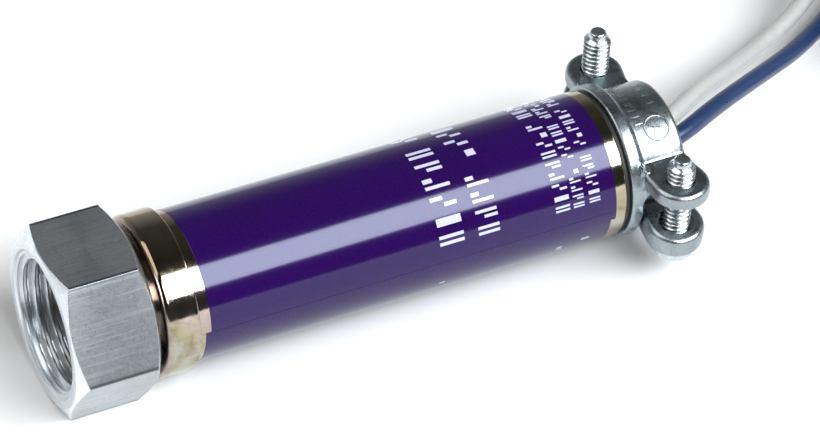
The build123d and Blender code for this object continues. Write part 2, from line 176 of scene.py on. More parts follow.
def capped(rows):
    """A tube of rows with a face across its first row and its last one."""
    vertices, faces = skin(rows, loop=False)
    count = len(rows[0])
    faces.append(tuple(range(count)))
    faces.append(tuple(range(len(vertices) - count, len(vertices))))
    return vertices, faces


def merged(shells):
    """One list of vertices and faces from several."""
    vertices, faces = [], []
    for more_vertices, more_faces in shells:
        start = len(vertices)
        vertices += more_vertices
        faces += [tuple(index + start for index in face) for face in more_faces]
    return vertices, faces


def round_x(x, radius, turn):
    """A point round the probe's axis."""
    return Vector((x, -radius * math.sin(turn), radius * math.cos(turn)))


def even(count, start=0.0, end=math.tau):
    """Evenly spaced angles that stop one step before the end."""
    return [start + (end - start) * i / count for i in range(count)]


def between(count, start, end):
    """Evenly spaced values from start to end."""
    return [start + (end - start) * i / (count - 1) for i in range(count)]


def softened(outline, radius, steps=3):
    """A closed outline with each corner rounded by about that radius, or by a list of radii."""
    radii = radius if isinstance(radius, (list, tuple)) else [radius] * len(outline)
    points = []
    for i, corner in enumerate(outline):
        here = Vector(corner)
        before, after = Vector(outline[i - 1]), Vector(outline[(i + 1) % len(outline)])
        reach = min(radii[i], 0.45 * (before - here).length, 0.45 * (after - here).length)
        start = here + (before - here).normalized() * reach
        end = here + (after - here).normalized() * reach
        for t in between(steps + 1, 0.0, 1.0):
            points.append((1 - t) ** 2 * start + 2 * t * (1 - t) * here + t * t * end)
    return points


def turned(outline, steps=160):
    """A closed outline of (x, radius) turned about the probe's axis."""
    return skin([[round_x(x, r, turn) for turn in even(steps)] for x, r in outline])


def smoothed(piece, sharp_degrees):
    """Smooth shading that keeps the edges sharper than an angle."""
    piece.data.shade_smooth()
    piece.data.set_sharp_from_angle(angle=math.radians(sharp_degrees))
    return piece


def shaded(piece, sharp_degrees=40.0):
    """Smooth shading that keeps sharp edges and flat faces."""
    smoothed(piece, sharp_degrees)
    weighted = piece.modifiers.new("Flat faces stay flat", "WEIGHTED_NORMAL")
    weighted.keep_sharp = True
    return piece


def baked(piece):
    """Applies the piece's modifiers to its mesh."""
    graph = bpy.context.evaluated_depsgraph_get()
    mesh = bpy.data.meshes.new_from_object(piece.evaluated_get(graph))
    piece.modifiers.clear()
    piece.data = mesh
    return piece


def cast(name, shells, grain, smoothing):
    """Overlapping closed shells melted into one casting with soft edges and filled corners."""
    piece = new_object(name, *merged(shells))
    melt = piece.modifiers.new("Melt", "REMESH")
    melt.mode = "VOXEL"
    melt.voxel_size = grain
    soften = piece.modifiers.new("Soften", "SMOOTH")
    soften.factor = 0.5
    soften.iterations = smoothing
    baked(piece)
    piece.data.shade_smooth()
    return piece


def settled(piece, body, slot, material, *nodes):
    """Gives a piece its finish, its body and the nodes that it stands for."""
    piece.data.materials.clear()
    for finish in material if isinstance(material, (list, tuple)) else [material]:
        piece.data.materials.append(finish)
    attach(piece, body)
    if nodes:
        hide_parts(*nodes)
    return piece


# ---- finishes ------------------------------------------------------------------------


class Finish:
    """A Principled material and the nodes that feed it."""

    def __init__(self, name, **values):
        self.material = bpy.data.materials.new(name)
        self.material.use_nodes = True
        self.nodes = self.material.node_tree.nodes
        self.links = self.material.node_tree.links
        self.shader = self.nodes["Principled BSDF"]
        for words, value in values.items():
            socket = words.replace("_", " ").title().replace("Ior", "IOR")
            self.shader.inputs[socket].default_value = value
        self.place = self.nodes.new("ShaderNodeTexCoord").outputs["Object"]
        self.normal = None

    def feed(self, node, socket, value):
        """Links an output to a socket, or sets the socket to a value."""
        if isinstance(value, bpy.types.NodeSocket):
            self.links.new(value, node.inputs[socket])
        else:
            node.inputs[socket].default_value = value

    def stretched(self, x, y, z):
        """Object coordinates, scaled along each axis."""
        node = self.nodes.new("ShaderNodeMapping")
        node.inputs["Scale"].default_value = (x, y, z)
        self.links.new(self.place, node.inputs["Vector"])
        return node.outputs["Vector"]

    def noise(self, scale, vector=None, detail=4.0, roughness=0.55, distortion=0.0):
        """Soft noise from 0 to 1."""
        node = self.nodes.new("ShaderNodeTexNoise")
        self.links.new(vector or self.place, node.inputs["Vector"])
        node.inputs["Scale"].default_value = scale
        node.inputs["Detail"].default_value = detail
        node.inputs["Roughness"].default_value = roughness
        node.inputs["Distortion"].default_value = distortion
        return node.outputs["Fac"]

    def math(self, operation, a, b=0.0):
        """Arithmetic on two values."""
        node = self.nodes.new("ShaderNodeMath")
        node.operation = operation
        self.feed(node, 0, a)
        self.feed(node, 1, b)
        return node.outputs[0]

    def reach(self, value, low, high, to_low=0.0, to_high=1.0):
        """A value from low to high spread from to_low to to_high."""
        node = self.nodes.new("ShaderNodeMapRange")
        for socket, number in enumerate((value, low, high, to_low, to_high)):
            self.feed(node, socket, number)
        return node.outputs[0]

    def axis(self, name):
        """One of the object's coordinates."""
        node = self.nodes.new("ShaderNodeSeparateXYZ")
        self.links.new(self.place, node.inputs[0])
        return node.outputs[name]

    def radius(self):
        """The distance from the probe's axis."""
        y, z = self.axis("Y"), self.axis("Z")
        square = self.math("ADD", self.math("MULTIPLY", y, y), self.math("MULTIPLY", z, z))
        return self.math("SQRT", square)

    def ramp(self, factor, *stops):
        """Colours at places from 0 to 1."""
        node = self.nodes.new("ShaderNodeValToRGB")
        self.links.new(factor, node.inputs["Fac"])
        elements = node.color_ramp.elements
        while len(elements) < len(stops):
            elements.new(0.5)
        for element, (place, shade) in zip(elements, stops):
            element.position = place
            element.color = (*shade, 1.0)
        return node.outputs["Color"]

    def mix(self, factor, a, b):
        """Two colours mixed."""
        node = self.nodes.new("ShaderNodeMix")
        node.data_type = "RGBA"
        self.feed(node, 0, factor)
        for socket, value in ((6, a), (7, b)):
            self.feed(node, socket, value if isinstance(value, bpy.types.NodeSocket) else (*value, 1.0))
        return node.outputs[2]

    def bump(self, height, distance, strength=1.0):
        """Raises the surface by the height times the distance."""
        node = self.nodes.new("ShaderNodeBump")
        node.inputs["Strength"].default_value = strength
        node.inputs["Distance"].default_value = distance
        self.links.new(height, node.inputs["Height"])
        if self.normal:
            self.links.new(self.normal, node.inputs["Normal"])
        self.normal = node.outputs["Normal"]
        self.links.new(self.normal, self.shader.inputs["Normal"])

    def set(self, socket, output):
        """Links an output to a socket of the shader."""
        self.links.new(output, self.shader.inputs[socket])


def tinted(shade, factor):
    """A colour made lighter or darker."""
    return tuple(min(1.0, channel * factor) for channel in shade)


def drawn_bar_steel(shade):
    """The hexagon's flats: cold drawn, with fine streaks along the bar and small scuffs, painted light on
    the top flat and painted shade on the corners.
    """
    steel = Finish("drawn_bar_steel", metallic=1.0, anisotropic=0.3)
    streaks = steel.noise(1.0, steel.stretched(110, 6200, 6200), 5.0, 0.7)
    lines = steel.noise(1.0, steel.stretched(40, 2300, 2300), 4.0, 0.7)
    scuffs = steel.noise(1500.0, detail=5.0, roughness=0.7)
    cloud = steel.noise(300.0, detail=3.0, roughness=0.5)
    slants = steel.noise(1.0, steel.stretched(3600, 800, 2000), 4.0, 0.6, 0.6)
    half_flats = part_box("mounting_collar")[1].z
    # painted light: the top flat is mixed towards a lighter copy of the steel
    top = steel.reach(steel.axis("Z"), half_flats - 0.5 * MM, half_flats - 0.1 * MM)
    base = steel.ramp(cloud, (0.3, tinted(shade, 0.92)), (0.7, tinted(shade, 1.08)))
    base = steel.mix(top, base, tinted(shade, 1.9))
    base = steel.mix(steel.reach(streaks, 0.46, 0.62, 0.0, 0.55), base, tinted(shade, 0.6))
    base = steel.mix(steel.reach(lines, 0.54, 0.64, 0.0, 0.45), base, tinted(shade, 1.6))
    base = steel.mix(steel.reach(scuffs, 0.52, 0.72, 0.0, 0.4), base, tinted(shade, 1.4))
    base = steel.mix(steel.reach(slants, 0.54, 0.72, 0.0, 0.5), base, tinted(shade, 0.6))
    # painted shade: the corners are darkened to dim the light that they reflect
    corner_shade = steel.reach(steel.radius(), 1.135 * half_flats, 1.142 * half_flats, 0.0, 0.75)
    steel.set("Base Color", steel.mix(corner_shade, base, tinted(shade, 0.3)))
    steel.set("Roughness", steel.reach(steel.math("ADD", streaks, slants), 0.7, 1.3, 0.27, 0.37))
    steel.bump(streaks, 0.0015 * MM, 0.5)
    steel.bump(slants, 0.002 * MM, 0.5)
    return steel.material


def turned_steel(shade):
    """Faces and bores cut on a lathe: fine rings round the axis, and painted shade that darkens the bore."""
    steel = Finish("turned_steel", metallic=1.0)
    rings = steel.nodes.new("ShaderNodeCombineXYZ")
    rings_per_metre = 9000.0
    steel.links.new(steel.math("MULTIPLY", steel.radius(), rings_per_metre), rings.inputs["X"])
    steel.links.new(steel.math("MULTIPLY", steel.axis("X"), rings_per_metre), rings.inputs["Y"])
    cut = steel.noise(1.0, rings.outputs[0], 2.0, 0.6)
    cloud = steel.noise(420.0, detail=5.0, roughness=0.65)
    # painted shade: the bore grows darker with depth behind the front face
    inside = steel.reach(steel.axis("X"), 0.0, 3.0 * MM, 1.0, 0.55)
    base = steel.ramp(cloud, (0.3, tinted(shade, 1.75)), (0.7, tinted(shade, 2.15)))
    base = steel.mix(steel.reach(cut, 0.4, 0.65, 0.0, 0.25), base, tinted(shade, 1.3))
    behind = steel.math("MULTIPLY", inside, steel.reach(steel.radius(), 10.2 * MM, 10.6 * MM, 0.0, 1.0))
    shadow = steel.mix(inside, tinted(shade, 0.45), base)
    steel.set("Base Color", steel.mix(steel.reach(behind, 0.0, 0.4, 0.0, 1.0), shadow, base))
    steel.set("Roughness", steel.reach(cut, 0.3, 0.7, 0.24, 0.36))
    steel.bump(cut, 0.004 * MM, 0.7)
    steel.bump(cloud, 0.008 * MM, 0.4)
    return steel.material


def yellow_chromate(name, shade, blush_x):
    """Yellow chromate on zinc: olive, gold, rose and green clouds, painted shade on top, coppery at blush_x.
    """
    plate = Finish(name, metallic=1.0)
    cloud = plate.noise(210.0, detail=4.0, roughness=0.55, distortion=1.0)
    drift = plate.noise(85.0, detail=2.0, roughness=0.45, distortion=0.8)
    speck = plate.noise(1700.0, detail=5.0, roughness=0.7)
    gold, olive = tinted(shade, 1.12), tinted(shade, 0.72)
    silver, rose, green = (0.46, 0.45, 0.41), (0.50, 0.38, 0.36), (0.35, 0.38, 0.31)
    burnt, top_shade, copper = (0.12, 0.075, 0.035), (0.26, 0.19, 0.10), (0.34, 0.23, 0.20)
    base = plate.ramp(cloud, (0.32, olive), (0.46, shade), (0.58, silver), (0.72, gold))
    tint = plate.ramp(drift, (0.36, green), (0.5, shade), (0.62, rose))
    base = plate.mix(plate.reach(drift, 0.3, 0.7, 0.25, 0.6), base, tint)
    stain = plate.noise(330.0, detail=5.0, roughness=0.6, distortion=0.6)
    base = plate.mix(plate.reach(stain, 0.52, 0.72, 0.0, 0.5), base, burnt)
    # painted shade: the upper side is darkened towards a dim brown
    base = plate.mix(plate.reach(plate.axis("Z"), 7.5 * MM, 10.5 * MM, 0.0, 0.6), base, top_shade)
    base = plate.mix(plate.reach(plate.axis("X"), blush_x, blush_x + 1.0 * MM, 0.6, 0.0), base, copper)
    plate.set("Base Color", plate.mix(plate.reach(speck, 0.55, 0.8, 0.0, 0.5), base, tinted(shade, 0.45)))
    plate.set("Roughness", plate.reach(plate.math("ADD", cloud, speck), 0.7, 1.3, 0.06, 0.13))
    plate.bump(speck, 0.005 * MM, 0.7)
    plate.bump(cloud, 0.05 * MM, 0.4)
    return plate.material


def violet_film(shade):
    """The label: glossy printed film with a faint grain, orange peel and a dark line at its seam."""
    film = Finish(
        "violet_film",
        roughness=0.12,
        specular_ior_level=0.44,
        specular_tint=(0.74, 0.79, 1.0, 1.0),
        coat_weight=0.12,
        coat_roughness=0.09,
    )
    grain = film.noise(4600.0, detail=3.0, roughness=0.6)
    cloud = film.noise(90.0, detail=3.0)
    wave = film.noise(330.0, detail=1.0)
    base = film.ramp(cloud, (0.3, tinted(shade, 0.92)), (0.7, tinted(shade, 1.1)))
    base = film.mix(film.reach(grain, 0.42, 0.68, 0.0, 0.6), base, tinted(shade, 2.1))
    turn = film.math("ARCTAN2", film.math("MULTIPLY", film.axis("Y"), -1.0), film.axis("Z"))
    edge = sizes().seam_angle - sizes().label_overlap / 2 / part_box("housing_tube")[1].z
    gap = film.math("ABSOLUTE", film.math("SUBTRACT", turn, edge))
    film.set("Base Color", film.mix(film.reach(gap, 0.004, 0.012, 0.3, 0.0), base, tinted(shade, 0.25)))
    film.bump(grain, 0.0016 * MM, 0.6)
    film.bump(wave, 0.012 * MM, 0.35)
    return film.material


def film_print(shade):
    """Pale ink under the label's gloss, slightly uneven."""
    ink = Finish("film_print", roughness=0.16, specular_ior_level=0.6, coat_weight=0.2, coat_roughness=0.05)
    grain = ink.noise(3800.0, detail=4.0)
    ink.set("Base Color", ink.ramp(grain, (0.3, tinted(shade, 0.84)), (0.62, shade)))
    ink.bump(grain, 0.002 * MM, 0.6)
    return ink.material


def soft_solid(name, shade, roughness, grain_scale, grain_height, **values):
    """Rubber, plastic, fibre or resin: a cloudy colour and a fine grain."""
    stuff = Finish(name, **values)
    cloud = stuff.noise(160.0, detail=4.0)
    grain = stuff.noise(grain_scale, detail=5.0, roughness=0.65)
    base = stuff.ramp(cloud, (0.3, tinted(shade, 0.86)), (0.7, tinted(shade, 1.12)))
    stuff.set("Base Color", stuff.mix(stuff.reach(grain, 0.5, 0.8, 0.0, 0.35), base, tinted(shade, 0.7)))
    stuff.set("Roughness", stuff.reach(grain, 0.3, 0.7, roughness - 0.06, roughness + 0.08))
    stuff.bump(grain, grain_height, 0.7)
    return stuff.material


def cast_zinc(shade):
    """The clamp's die-cast skin: softly bright, faintly grainy, with painted shade in its creases and its
    seat, and worn on its edges.
    """
    zinc = Finish("cast_zinc", metallic=1.0)
    flow = zinc.noise(230.0, detail=4.0, roughness=0.6, distortion=0.9)
    grain = zinc.noise(2300.0, detail=5.0, roughness=0.65)
    edge = zinc.nodes.new("ShaderNodeNewGeometry").outputs["Pointiness"]
    base = zinc.ramp(flow, (0.32, tinted(shade, 0.80)), (0.5, shade), (0.68, tinted(shade, 1.1)))
    base = zinc.mix(zinc.reach(grain, 0.5, 0.75, 0.0, 0.35), base, tinted(shade, 0.62))
    # painted shade: concave creases, where pointiness is low, are darkened
    base = zinc.mix(zinc.reach(edge, 0.48, 0.42, 0.0, 0.7), base, tinted(shade, 0.35))
    base = zinc.mix(zinc.reach(edge, 0.53, 0.60, 0.0, 0.6), base, tinted(shade, 1.35))
    # painted shade: the seat inside the arch is darkened
    seat = zinc.reach(zinc.radius(), 9.2 * MM, 9.7 * MM, 0.85, 0.0)
    zinc.set("Base Color", zinc.mix(seat, base, tinted(shade, 0.14)))
    zinc.set("Roughness", zinc.reach(zinc.math("ADD", flow, grain), 0.75, 1.3, 0.22, 0.4))
    zinc.bump(grain, 0.008 * MM, 0.6)
    zinc.bump(flow, 0.08 * MM, 0.35)
    return zinc.material


def plated_metal(name, shade, roughness, **values):
    """Plain plated or rolled metal with a fine, cloudy surface."""
    metal = Finish(name, metallic=1.0, **values)
    cloud = metal.noise(480.0, detail=4.0, roughness=0.6)
    grain = metal.noise(3600.0, detail=4.0)
    base = metal.ramp(cloud, (0.32, tinted(shade, 0.88)), (0.66, tinted(shade, 1.1)))
    metal.set("Base Color", metal.mix(metal.reach(grain, 0.52, 0.8, 0.0, 0.35), base, tinted(shade, 0.65)))
    metal.set("Roughness", metal.reach(cloud, 0.3, 0.7, roughness - 0.06, roughness + 0.08))
    metal.bump(grain, 0.003 * MM, 0.7)
    return metal.material


def clear_glass(name, ior, shade):
    """Fused quartz or bulb glass, with a few faint ripples."""
    glass = Finish(name, base_color=(*shade, 1.0), roughness=0.02, ior=ior, transmission_weight=1.0)
    glass.bump(glass.noise(260.0, detail=2.0), 0.004 * MM, 0.5)
    return glass.material


def insulation(name, shade):
    """Extruded insulation: slightly glossy, with faint lines and scuffs."""
    sleeve = Finish(name, specular_ior_level=0.5, coat_weight=0.12, coat_roughness=0.2)
    scuff = sleeve.noise(620.0, detail=5.0, roughness=0.7)
    dust = sleeve.noise(2600.0, detail=3.0)
    base = sleeve.ramp(scuff, (0.3, tinted(shade, 0.93)), (0.64, tinted(shade, 1.05)))
    marks = sleeve.reach(dust, 0.66, 0.85, 0.0, 0.3)
    sleeve.set("Base Color", sleeve.mix(marks, base, tinted(shade, 0.6)))
    sleeve.set("Roughness", sleeve.reach(scuff, 0.3, 0.7, 0.26, 0.4))
    sleeve.bump(scuff, 0.004 * MM, 0.5)
    return sleeve.material


def floor_paper(shade):
    """A plain pale floor with the faintest tooth."""
    paper = Finish("floor_paper", specular_ior_level=0.2)
    tooth = paper.noise(900.0, detail=3.0)
    paper.set("Base Color", paper.ramp(tooth, (0.3, tinted(shade, 0.99)), (0.7, shade)))
    paper.set("Roughness", paper.reach(tooth, 0.3, 0.7, 0.8, 0.9))
    return paper.material


def make_finishes():
    """Every finish of the probe, by the name of its slot in the record."""
    settings = bpy.context.scene.probe_colours
    shades = {name: tuple(getattr(settings, name)) for name in settings.__annotations__}
    cap_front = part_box("front_cap")[0].x
    no_blush = -1.0
    return {
        "machined_steel": drawn_bar_steel(shades["steel"]),
        "turned_steel": turned_steel(shades["steel"]),
        "zinc_dichromate": yellow_chromate("yellow_chromate", shades["chromate"], cap_front),
        "zinc_dichromate_tube": yellow_chromate("yellow_chromate_tube", shades["chromate"], no_blush),
        "violet_label": violet_film(shades["violet"]),
        "print": film_print(shades["print_white"]),
        "fibre": soft_solid("pressed_fibre", (0.26, 0.15, 0.09), 0.7, 2200.0, 0.03 * MM),
        "silicone": soft_solid("red_silicone", (0.42, 0.07, 0.04), 0.55, 2600.0, 0.01 * MM),
        "quartz": clear_glass("fused_quartz", 1.46, (0.97, 0.98, 1.0)),
        "spring_steel": plated_metal("spring_steel", (0.42, 0.42, 0.43), 0.36),
        "liner_film": soft_solid("liner_film", (0.62, 0.58, 0.42), 0.4, 1800.0, 0.006 * MM),
        "bulb_glass": clear_glass("bulb_glass", 1.48, (0.96, 0.98, 0.99)),
        "electrode_nickel": plated_metal("electrode_nickel", (0.52, 0.50, 0.46), 0.34),
        "socket_ceramic": soft_solid("socket_ceramic", (0.72, 0.69, 0.61), 0.6, 3000.0, 0.012 * MM),
        "heat_shrink": soft_solid("shrunk_sleeve", (0.02, 0.02, 0.022), 0.42, 1500.0, 0.012 * MM),
        "white_insulation": insulation("white_insulation", shades["lead_white"]),
        "blue_insulation": insulation("blue_insulation", shades["lead_blue"]),
        "potting": soft_solid("cast_resin", (0.03, 0.028, 0.026), 0.3, 900.0, 0.02 * MM),
        "black_gasket": soft_solid("black_rubber", (0.012, 0.012, 0.013), 0.5, 2800.0, 0.01 * MM),
        "die_cast_zinc": cast_zinc(shades["cast_zinc"]),
        "bushing_plastic": soft_solid("bushing_plastic", (0.07, 0.016, 0.012), 0.34, 2400.0, 0.006 * MM),
        "zinc_plated_screw": plated_metal("screw_zinc", shades["screw_zinc"], 0.24),
        # painted shade: a darker copy of the screw zinc for the thread's roots
        "thread_root": plated_metal("thread_root", tinted(shades["screw_zinc"], 0.25), 0.34),
        "tinned_copper": plated_metal("tinned_copper", (0.66, 0.63, 0.57), 0.26),
        "tie_nylon": soft_solid("natural_nylon", (0.66, 0.64, 0.56), 0.38, 2400.0, 0.01 * MM),
    }


FINISHES = {}


def finish(slot):
    """One finish, made with the others when it is first asked for."""
    if not FINISHES:
        FINISHES.update(make_finishes())
    return FINISHES[slot]


def sizes():
    """The sizes that the user may change."""
    return bpy.context.scene.probe_sizes


# ---- collar, spud and washer ---------------------------------------------------------


def blend_in(value, start, end):
    """0 before start, 1 after end, and a smooth step between them."""
    t = min(1.0, max(0.0, (value - start) / (end - start)))
    return t * t * (3 - 2 * t)


def thread_wave(turns, crest=0.14, root=0.10):
    """How deep a thread is after that many turns: 0 on the crest and 1 in the root."""
    t = turns % 1.0
    flank = (1.0 - crest - root) / 2
    if t < crest:
        return 0.0
    if t < crest + flank:
        return (t - crest) / flank
    if t < crest + flank + root:
        return 1.0
    return (1.0 - t) / flank


def hexagon_angles(half_flats, corner_radius, steps=18):
    """Angles round the hexagon, each with the flats' radius there. The worn corners are narrow facets."""
    half = math.acos(half_flats / corner_radius)
    turns = []
    for flat in range(6):
        middle = flat * math.tau / 6
        turns += [(middle + a, half_flats / math.cos(a)) for a in between(steps, -half, half)]
    return turns


def collar_bore_radius(x, turn, dims):
    """The bore's radius: step behind the countersink, tapering pipe thread and relief."""
    step_rear, step_depth, taper_ratio = -0.45 * MM, 0.75 * MM, 32
    wave = thread_wave(x / dims.thread_pitch - turn / math.tau)
    taper = (dims.thread_length - x) / taper_ratio
    run_out = blend_in(x, dims.thread_length, dims.thread_length - dims.thread_pitch / 2)
    thread = dims.thread_radius + taper + dims.thread_depth * wave * run_out
    step = dims.mouth_radius - step_depth if x < step_rear else 0.0
    relief = dims.relief_radius if x > dims.thread_length else 0.0
    return max(thread, step, relief)


def build_collar_mesh():
    """The hexagon collar, one closed row of points for each angle."""
    dims = sizes()
    low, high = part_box("mounting_collar")
    wear, edge = 0.025 * MM, 0.06 * MM
    slope = math.tan(dims.collar_chamfer)
    corner = high.z / math.cos(math.pi / 6) - wear
    wall_x = high.x - dims.collar_wall
    thread_steps = between(110, wall_x - edge, low.x + 0.35 * MM)
    rows = []
    for turn, flat in hexagon_angles(high.z, corner):
        front = low.x + (flat - dims.front_face_radius) * slope
        rear = high.x - (flat - dims.rear_face_radius) * slope
        outline = [
            (low.x + 0.3 * MM, dims.mouth_radius - 0.32 * MM),
            (low.x + edge, dims.mouth_radius - edge),
            (low.x, dims.mouth_radius + edge),
            (low.x, dims.front_face_radius - edge),
            (low.x + edge * slope, dims.front_face_radius + edge),
            (front - edge * slope, flat - edge),
            (front + edge, flat),
            (rear - edge, flat),
            (rear + edge * slope, flat - edge),
            (high.x - edge * slope, dims.rear_face_radius + edge),
            (high.x, dims.rear_face_radius - edge),
            (high.x, dims.swivel_radius + edge),
            (high.x - edge, dims.swivel_radius),
            (wall_x + edge, dims.swivel_radius),
            (wall_x, dims.swivel_radius + edge),
            (wall_x, dims.relief_radius - edge),
        ]
        outline += [(x, collar_bore_radius(x, turn, dims)) for x in thread_steps]
        rows.append([round_x(x, radius, turn) for x, radius in outline])
    return skin(rows)


def is_drawn(face, low, high):
    """True for a face on one of the collar's six flats."""
    outward = math.hypot(face.normal.y, face.normal.z) > 0.999
    radius = math.hypot(face.center.y, face.center.z)
    return outward and radius > high.z - 0.1 * MM and low.x < face.center.x < high.x


class PROBE_OT_collar(bpy.types.Operator):
    """Build the hexagon collar with its tapering pipe thread"""

    bl_idname = "probe.collar"
    bl_label = "Collar"

    def execute(self, context):
        collar = shaded(new_object("hex_collar", *build_collar_mesh()), 32.0)
        materials = [finish("machined_steel"), finish("turned_steel")]
        settled(collar, "collar", "machined_steel", materials, "mounting_collar")
        low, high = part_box("mounting_collar")
        for face in collar.data.polygons:
            face.material_index = 0 if is_drawn(face, low, high) else 1
        return {"FINISHED"}


def band(low_x, high_x, inner, outer):
    """The outline of a plain ring."""
    return [(low_x, inner), (low_x, outer), (high_x, outer), (high_x, inner)]


def lathe(name, node, slot, outline, radii, look=None, corner_steps=3, steps=160):
    """One turned piece of the housing, with its corners softened."""
    piece = shaded(new_object(name, *turned(softened(outline, radii, corner_steps), steps)))
    settled(piece, "housing", slot, finish(look or slot), node)


class PROBE_OT_spud(bpy.types.Operator):
    """Build the sight spud that the collar turns on, and its washer"""

    bl_idname = "probe.spud"
    bl_label = "Spud and washer"

    def execute(self, context):
        low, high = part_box("sight_spud")
        cap_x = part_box("front_cap")[0].x
        wall_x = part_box("mounting_collar")[1].x - sizes().collar_wall
        lip_rear = wall_x - 0.2 * MM
        bore, neck, tenon = 6.0 * MM, 7.5 * MM, 7.1 * MM
        outline = [
            (low.x, bore),
            (low.x, high.z),
            (lip_rear, high.z),
            (lip_rear, neck),
            (cap_x, neck),
            (cap_x, tenon),
            (high.x, tenon),
            (high.x, bore),
        ]
        lathe("spud", "sight_spud", "zinc_dichromate", outline, 0.12 * MM, look="zinc_dichromate_tube")
        low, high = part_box("pipe_seal_washer")
        washer = band(low.x, high.x, 6.4 * MM, high.z)
        lathe("seal_washer", "pipe_seal_washer", "fibre", washer, 0.25 * MM)
        return {"FINISHED"}


# ---- cap, tube, gasket and label -----------------------------------------------------


class PROBE_OT_housing(bpy.types.Operator):
    """Build the front cap, the housing tube and the gasket at its end"""

    bl_idname = "probe.housing"
    bl_label = "Cap and tube"

    def execute(self, context):
        dims = sizes()
        tube_low, tube_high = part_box("housing_tube")
        low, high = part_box("front_cap")
        tenon, soft = 7.1 * MM, 0.16 * MM
        outline = [
            (low.x, tenon),
            (low.x, high.z),
            (high.x, high.z),
            (high.x, tube_high.z),
            (tube_low.x, tube_high.z),
            (tube_low.x, tenon),
        ]
        radii = [soft, dims.cap_edge, 0.28 * MM, soft / 4, soft, soft]
        lathe("rolled_cap", "front_cap", "zinc_dichromate", outline, radii, corner_steps=8, steps=200)

        wall, rim = 0.8 * MM, 0.22 * MM
        inner = tube_high.z - wall
        outline = band(tube_low.x, tube_high.x, inner, tube_high.z)
        slot = "zinc_dichromate_tube"
        lathe("plated_tube", "housing_tube", slot, outline, rim, corner_steps=5, steps=200)

        low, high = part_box("connector_gasket")
        squeeze = 0.12 * MM
        outline = [
            (low.x, inner),
            (low.x, high.z - squeeze),
            ((low.x + high.x) / 2, high.z),
            (high.x, high.z - squeeze),
            (high.x, inner),
        ]
        lathe("end_gasket", "connector_gasket", "black_gasket", outline, squeeze)
        return {"FINISHED"}


class Film:
    """The label's film: a sheet wound once round the tube, with its seam low on one side."""

    def __init__(self):
        dims = sizes()
        low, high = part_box("wrap_label")
        self.start, self.span = low.x, high.x - low.x
        self.tube_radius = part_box("housing_tube")[1].z
        self.lap = dims.label_overlap / self.tube_radius
        self.thickness, self.skew, self.seam = dims.label_thickness, dims.label_skew, dims.seam_angle

    def place(self, x, unwound, height):
        """A point on the film, from a place along the probe and an angle unwound from the seam."""
        lift = blend_in(unwound, math.tau - 3 * self.lap, math.tau) * self.thickness
        drift = -self.skew * max(0.0, unwound - self.lap) / math.tau
        turn = self.seam + math.tau - unwound + self.lap / 2
        return round_x(x + drift, self.tube_radius + height + lift, turn)

    def unwound(self, turn):
        """The angle unwound from the seam at an angle round the probe."""
        return self.seam + math.tau + self.lap / 2 - turn

    def patch(self, places, turns, height):
        """A thin closed sheet that follows the film between places along it and angles round it."""
        rows = []
        for unwound in turns:
            upper = [self.place(x, unwound, height) for x in places]
            lower = [self.place(x, unwound, 0.0) for x in reversed(places)]
            rows.append(upper + lower)
        return capped(rows)


# Plain marks, each a few rectangles in a cell one unit wide and one tall: (left, right, low, high).
MARKS = (
    ((0.0, 0.18, 0.0, 1.0), (0.36, 0.54, 0.0, 1.0)),
    ((0.04, 0.46, 0.0, 1.0),),
    ((0.0, 0.20, 0.0, 0.5), (0.36, 0.56, 0.5, 1.0)),
    ((0.0, 0.46, 0.0, 0.42),),
    ((0.0, 0.18, 0.0, 1.0), (0.36, 0.60, 0.62, 1.0)),
    ((0.0, 0.18, 0.0, 0.62), (0.34, 0.52, 0.0, 1.0)),
)


# Two tall lines, three short ones, and small marks below the seam. For each: place along the
# probe, first and last angle, height, step through MARKS, and marks before a space; in mm and degrees.
PRINT_LINES = (
    (56.7, 73.0, -46.0, 3.9, 1, 6),
    (62.9, 73.5, -46.0, 3.4, 5, 4),
    (75.4, 74.0, -52.0, 2.3, 1, 9),
    (78.3, 74.0, -48.0, 1.75, 5, 5),
    (80.9, 73.5, -44.0, 1.75, 1, 6),
    (80.0, 112.0, 108.0, 1.4, 5, 9),
    (76.2, 118.0, 114.0, 0.9, 1, 9),
    (57.0, 114.0, 111.0, 0.9, 5, 9),
)


def print_line(film, x, from_degrees, to_degrees, height, order, spaces):
    """One line of plain marks that climbs round the tube, with a space after each few."""
    patches = []
    ink = 0.012 * MM
    cell = 0.72 * height / film.tube_radius
    turn = math.radians(from_degrees)
    count = 0
    while turn > math.radians(to_degrees):
        mark = MARKS[(count * order + count // 3) % len(MARKS)]
        for left, right, low, high in mark:
            start = film.unwound(turn) + left * cell
            turns = between(4, start, start + (right - left) * cell)
            places = [x + (1 - high) * height, x + (1 - low) * height]
            patches.append(film.patch(places, turns, film.thickness + ink))
        turn -= cell * (1.9 if count % spaces == spaces - 1 else 1.0)
        count += 1
    return patches


class PROBE_OT_label(bpy.types.Operator):
    """Wrap the violet label round the tube and print its plain marks"""

    bl_idname = "probe.label"
    bl_label = "Label"

    def execute(self, context):
        film = Film()
        places = between(9, film.start, film.start + film.span)
        whole = film.patch(places, between(220, 0.0, math.tau + film.lap), film.thickness)
        label = shaded(new_object("violet_wrap", *whole), 50.0)
        settled(label, "housing", "violet_label", finish("violet_label"), "wrap_label")
        lines = []
        for x, start, end, height, order, spaces in PRINT_LINES:
            lines += print_line(film, x * MM, start, end, height * MM, order, spaces)
        ink = smoothed(new_object("label_marks", *merged(lines)), 40.0)
        settled(ink, "housing", "violet_label", finish("print"))
        return {"FINISHED"}


# ---- window, bushing and the pieces inside -------------------------------------------


def disc(low_x, high_x, radius, rim):
    """A solid disc across the probe's axis with softened rims."""
    stations = [(low_x, radius - rim), (low_x + rim, radius), (high_x - rim, radius), (high_x, radius - rim)]
    return capped([[round_x(x, r, turn) for turn in even(128)] for x, r in stations])


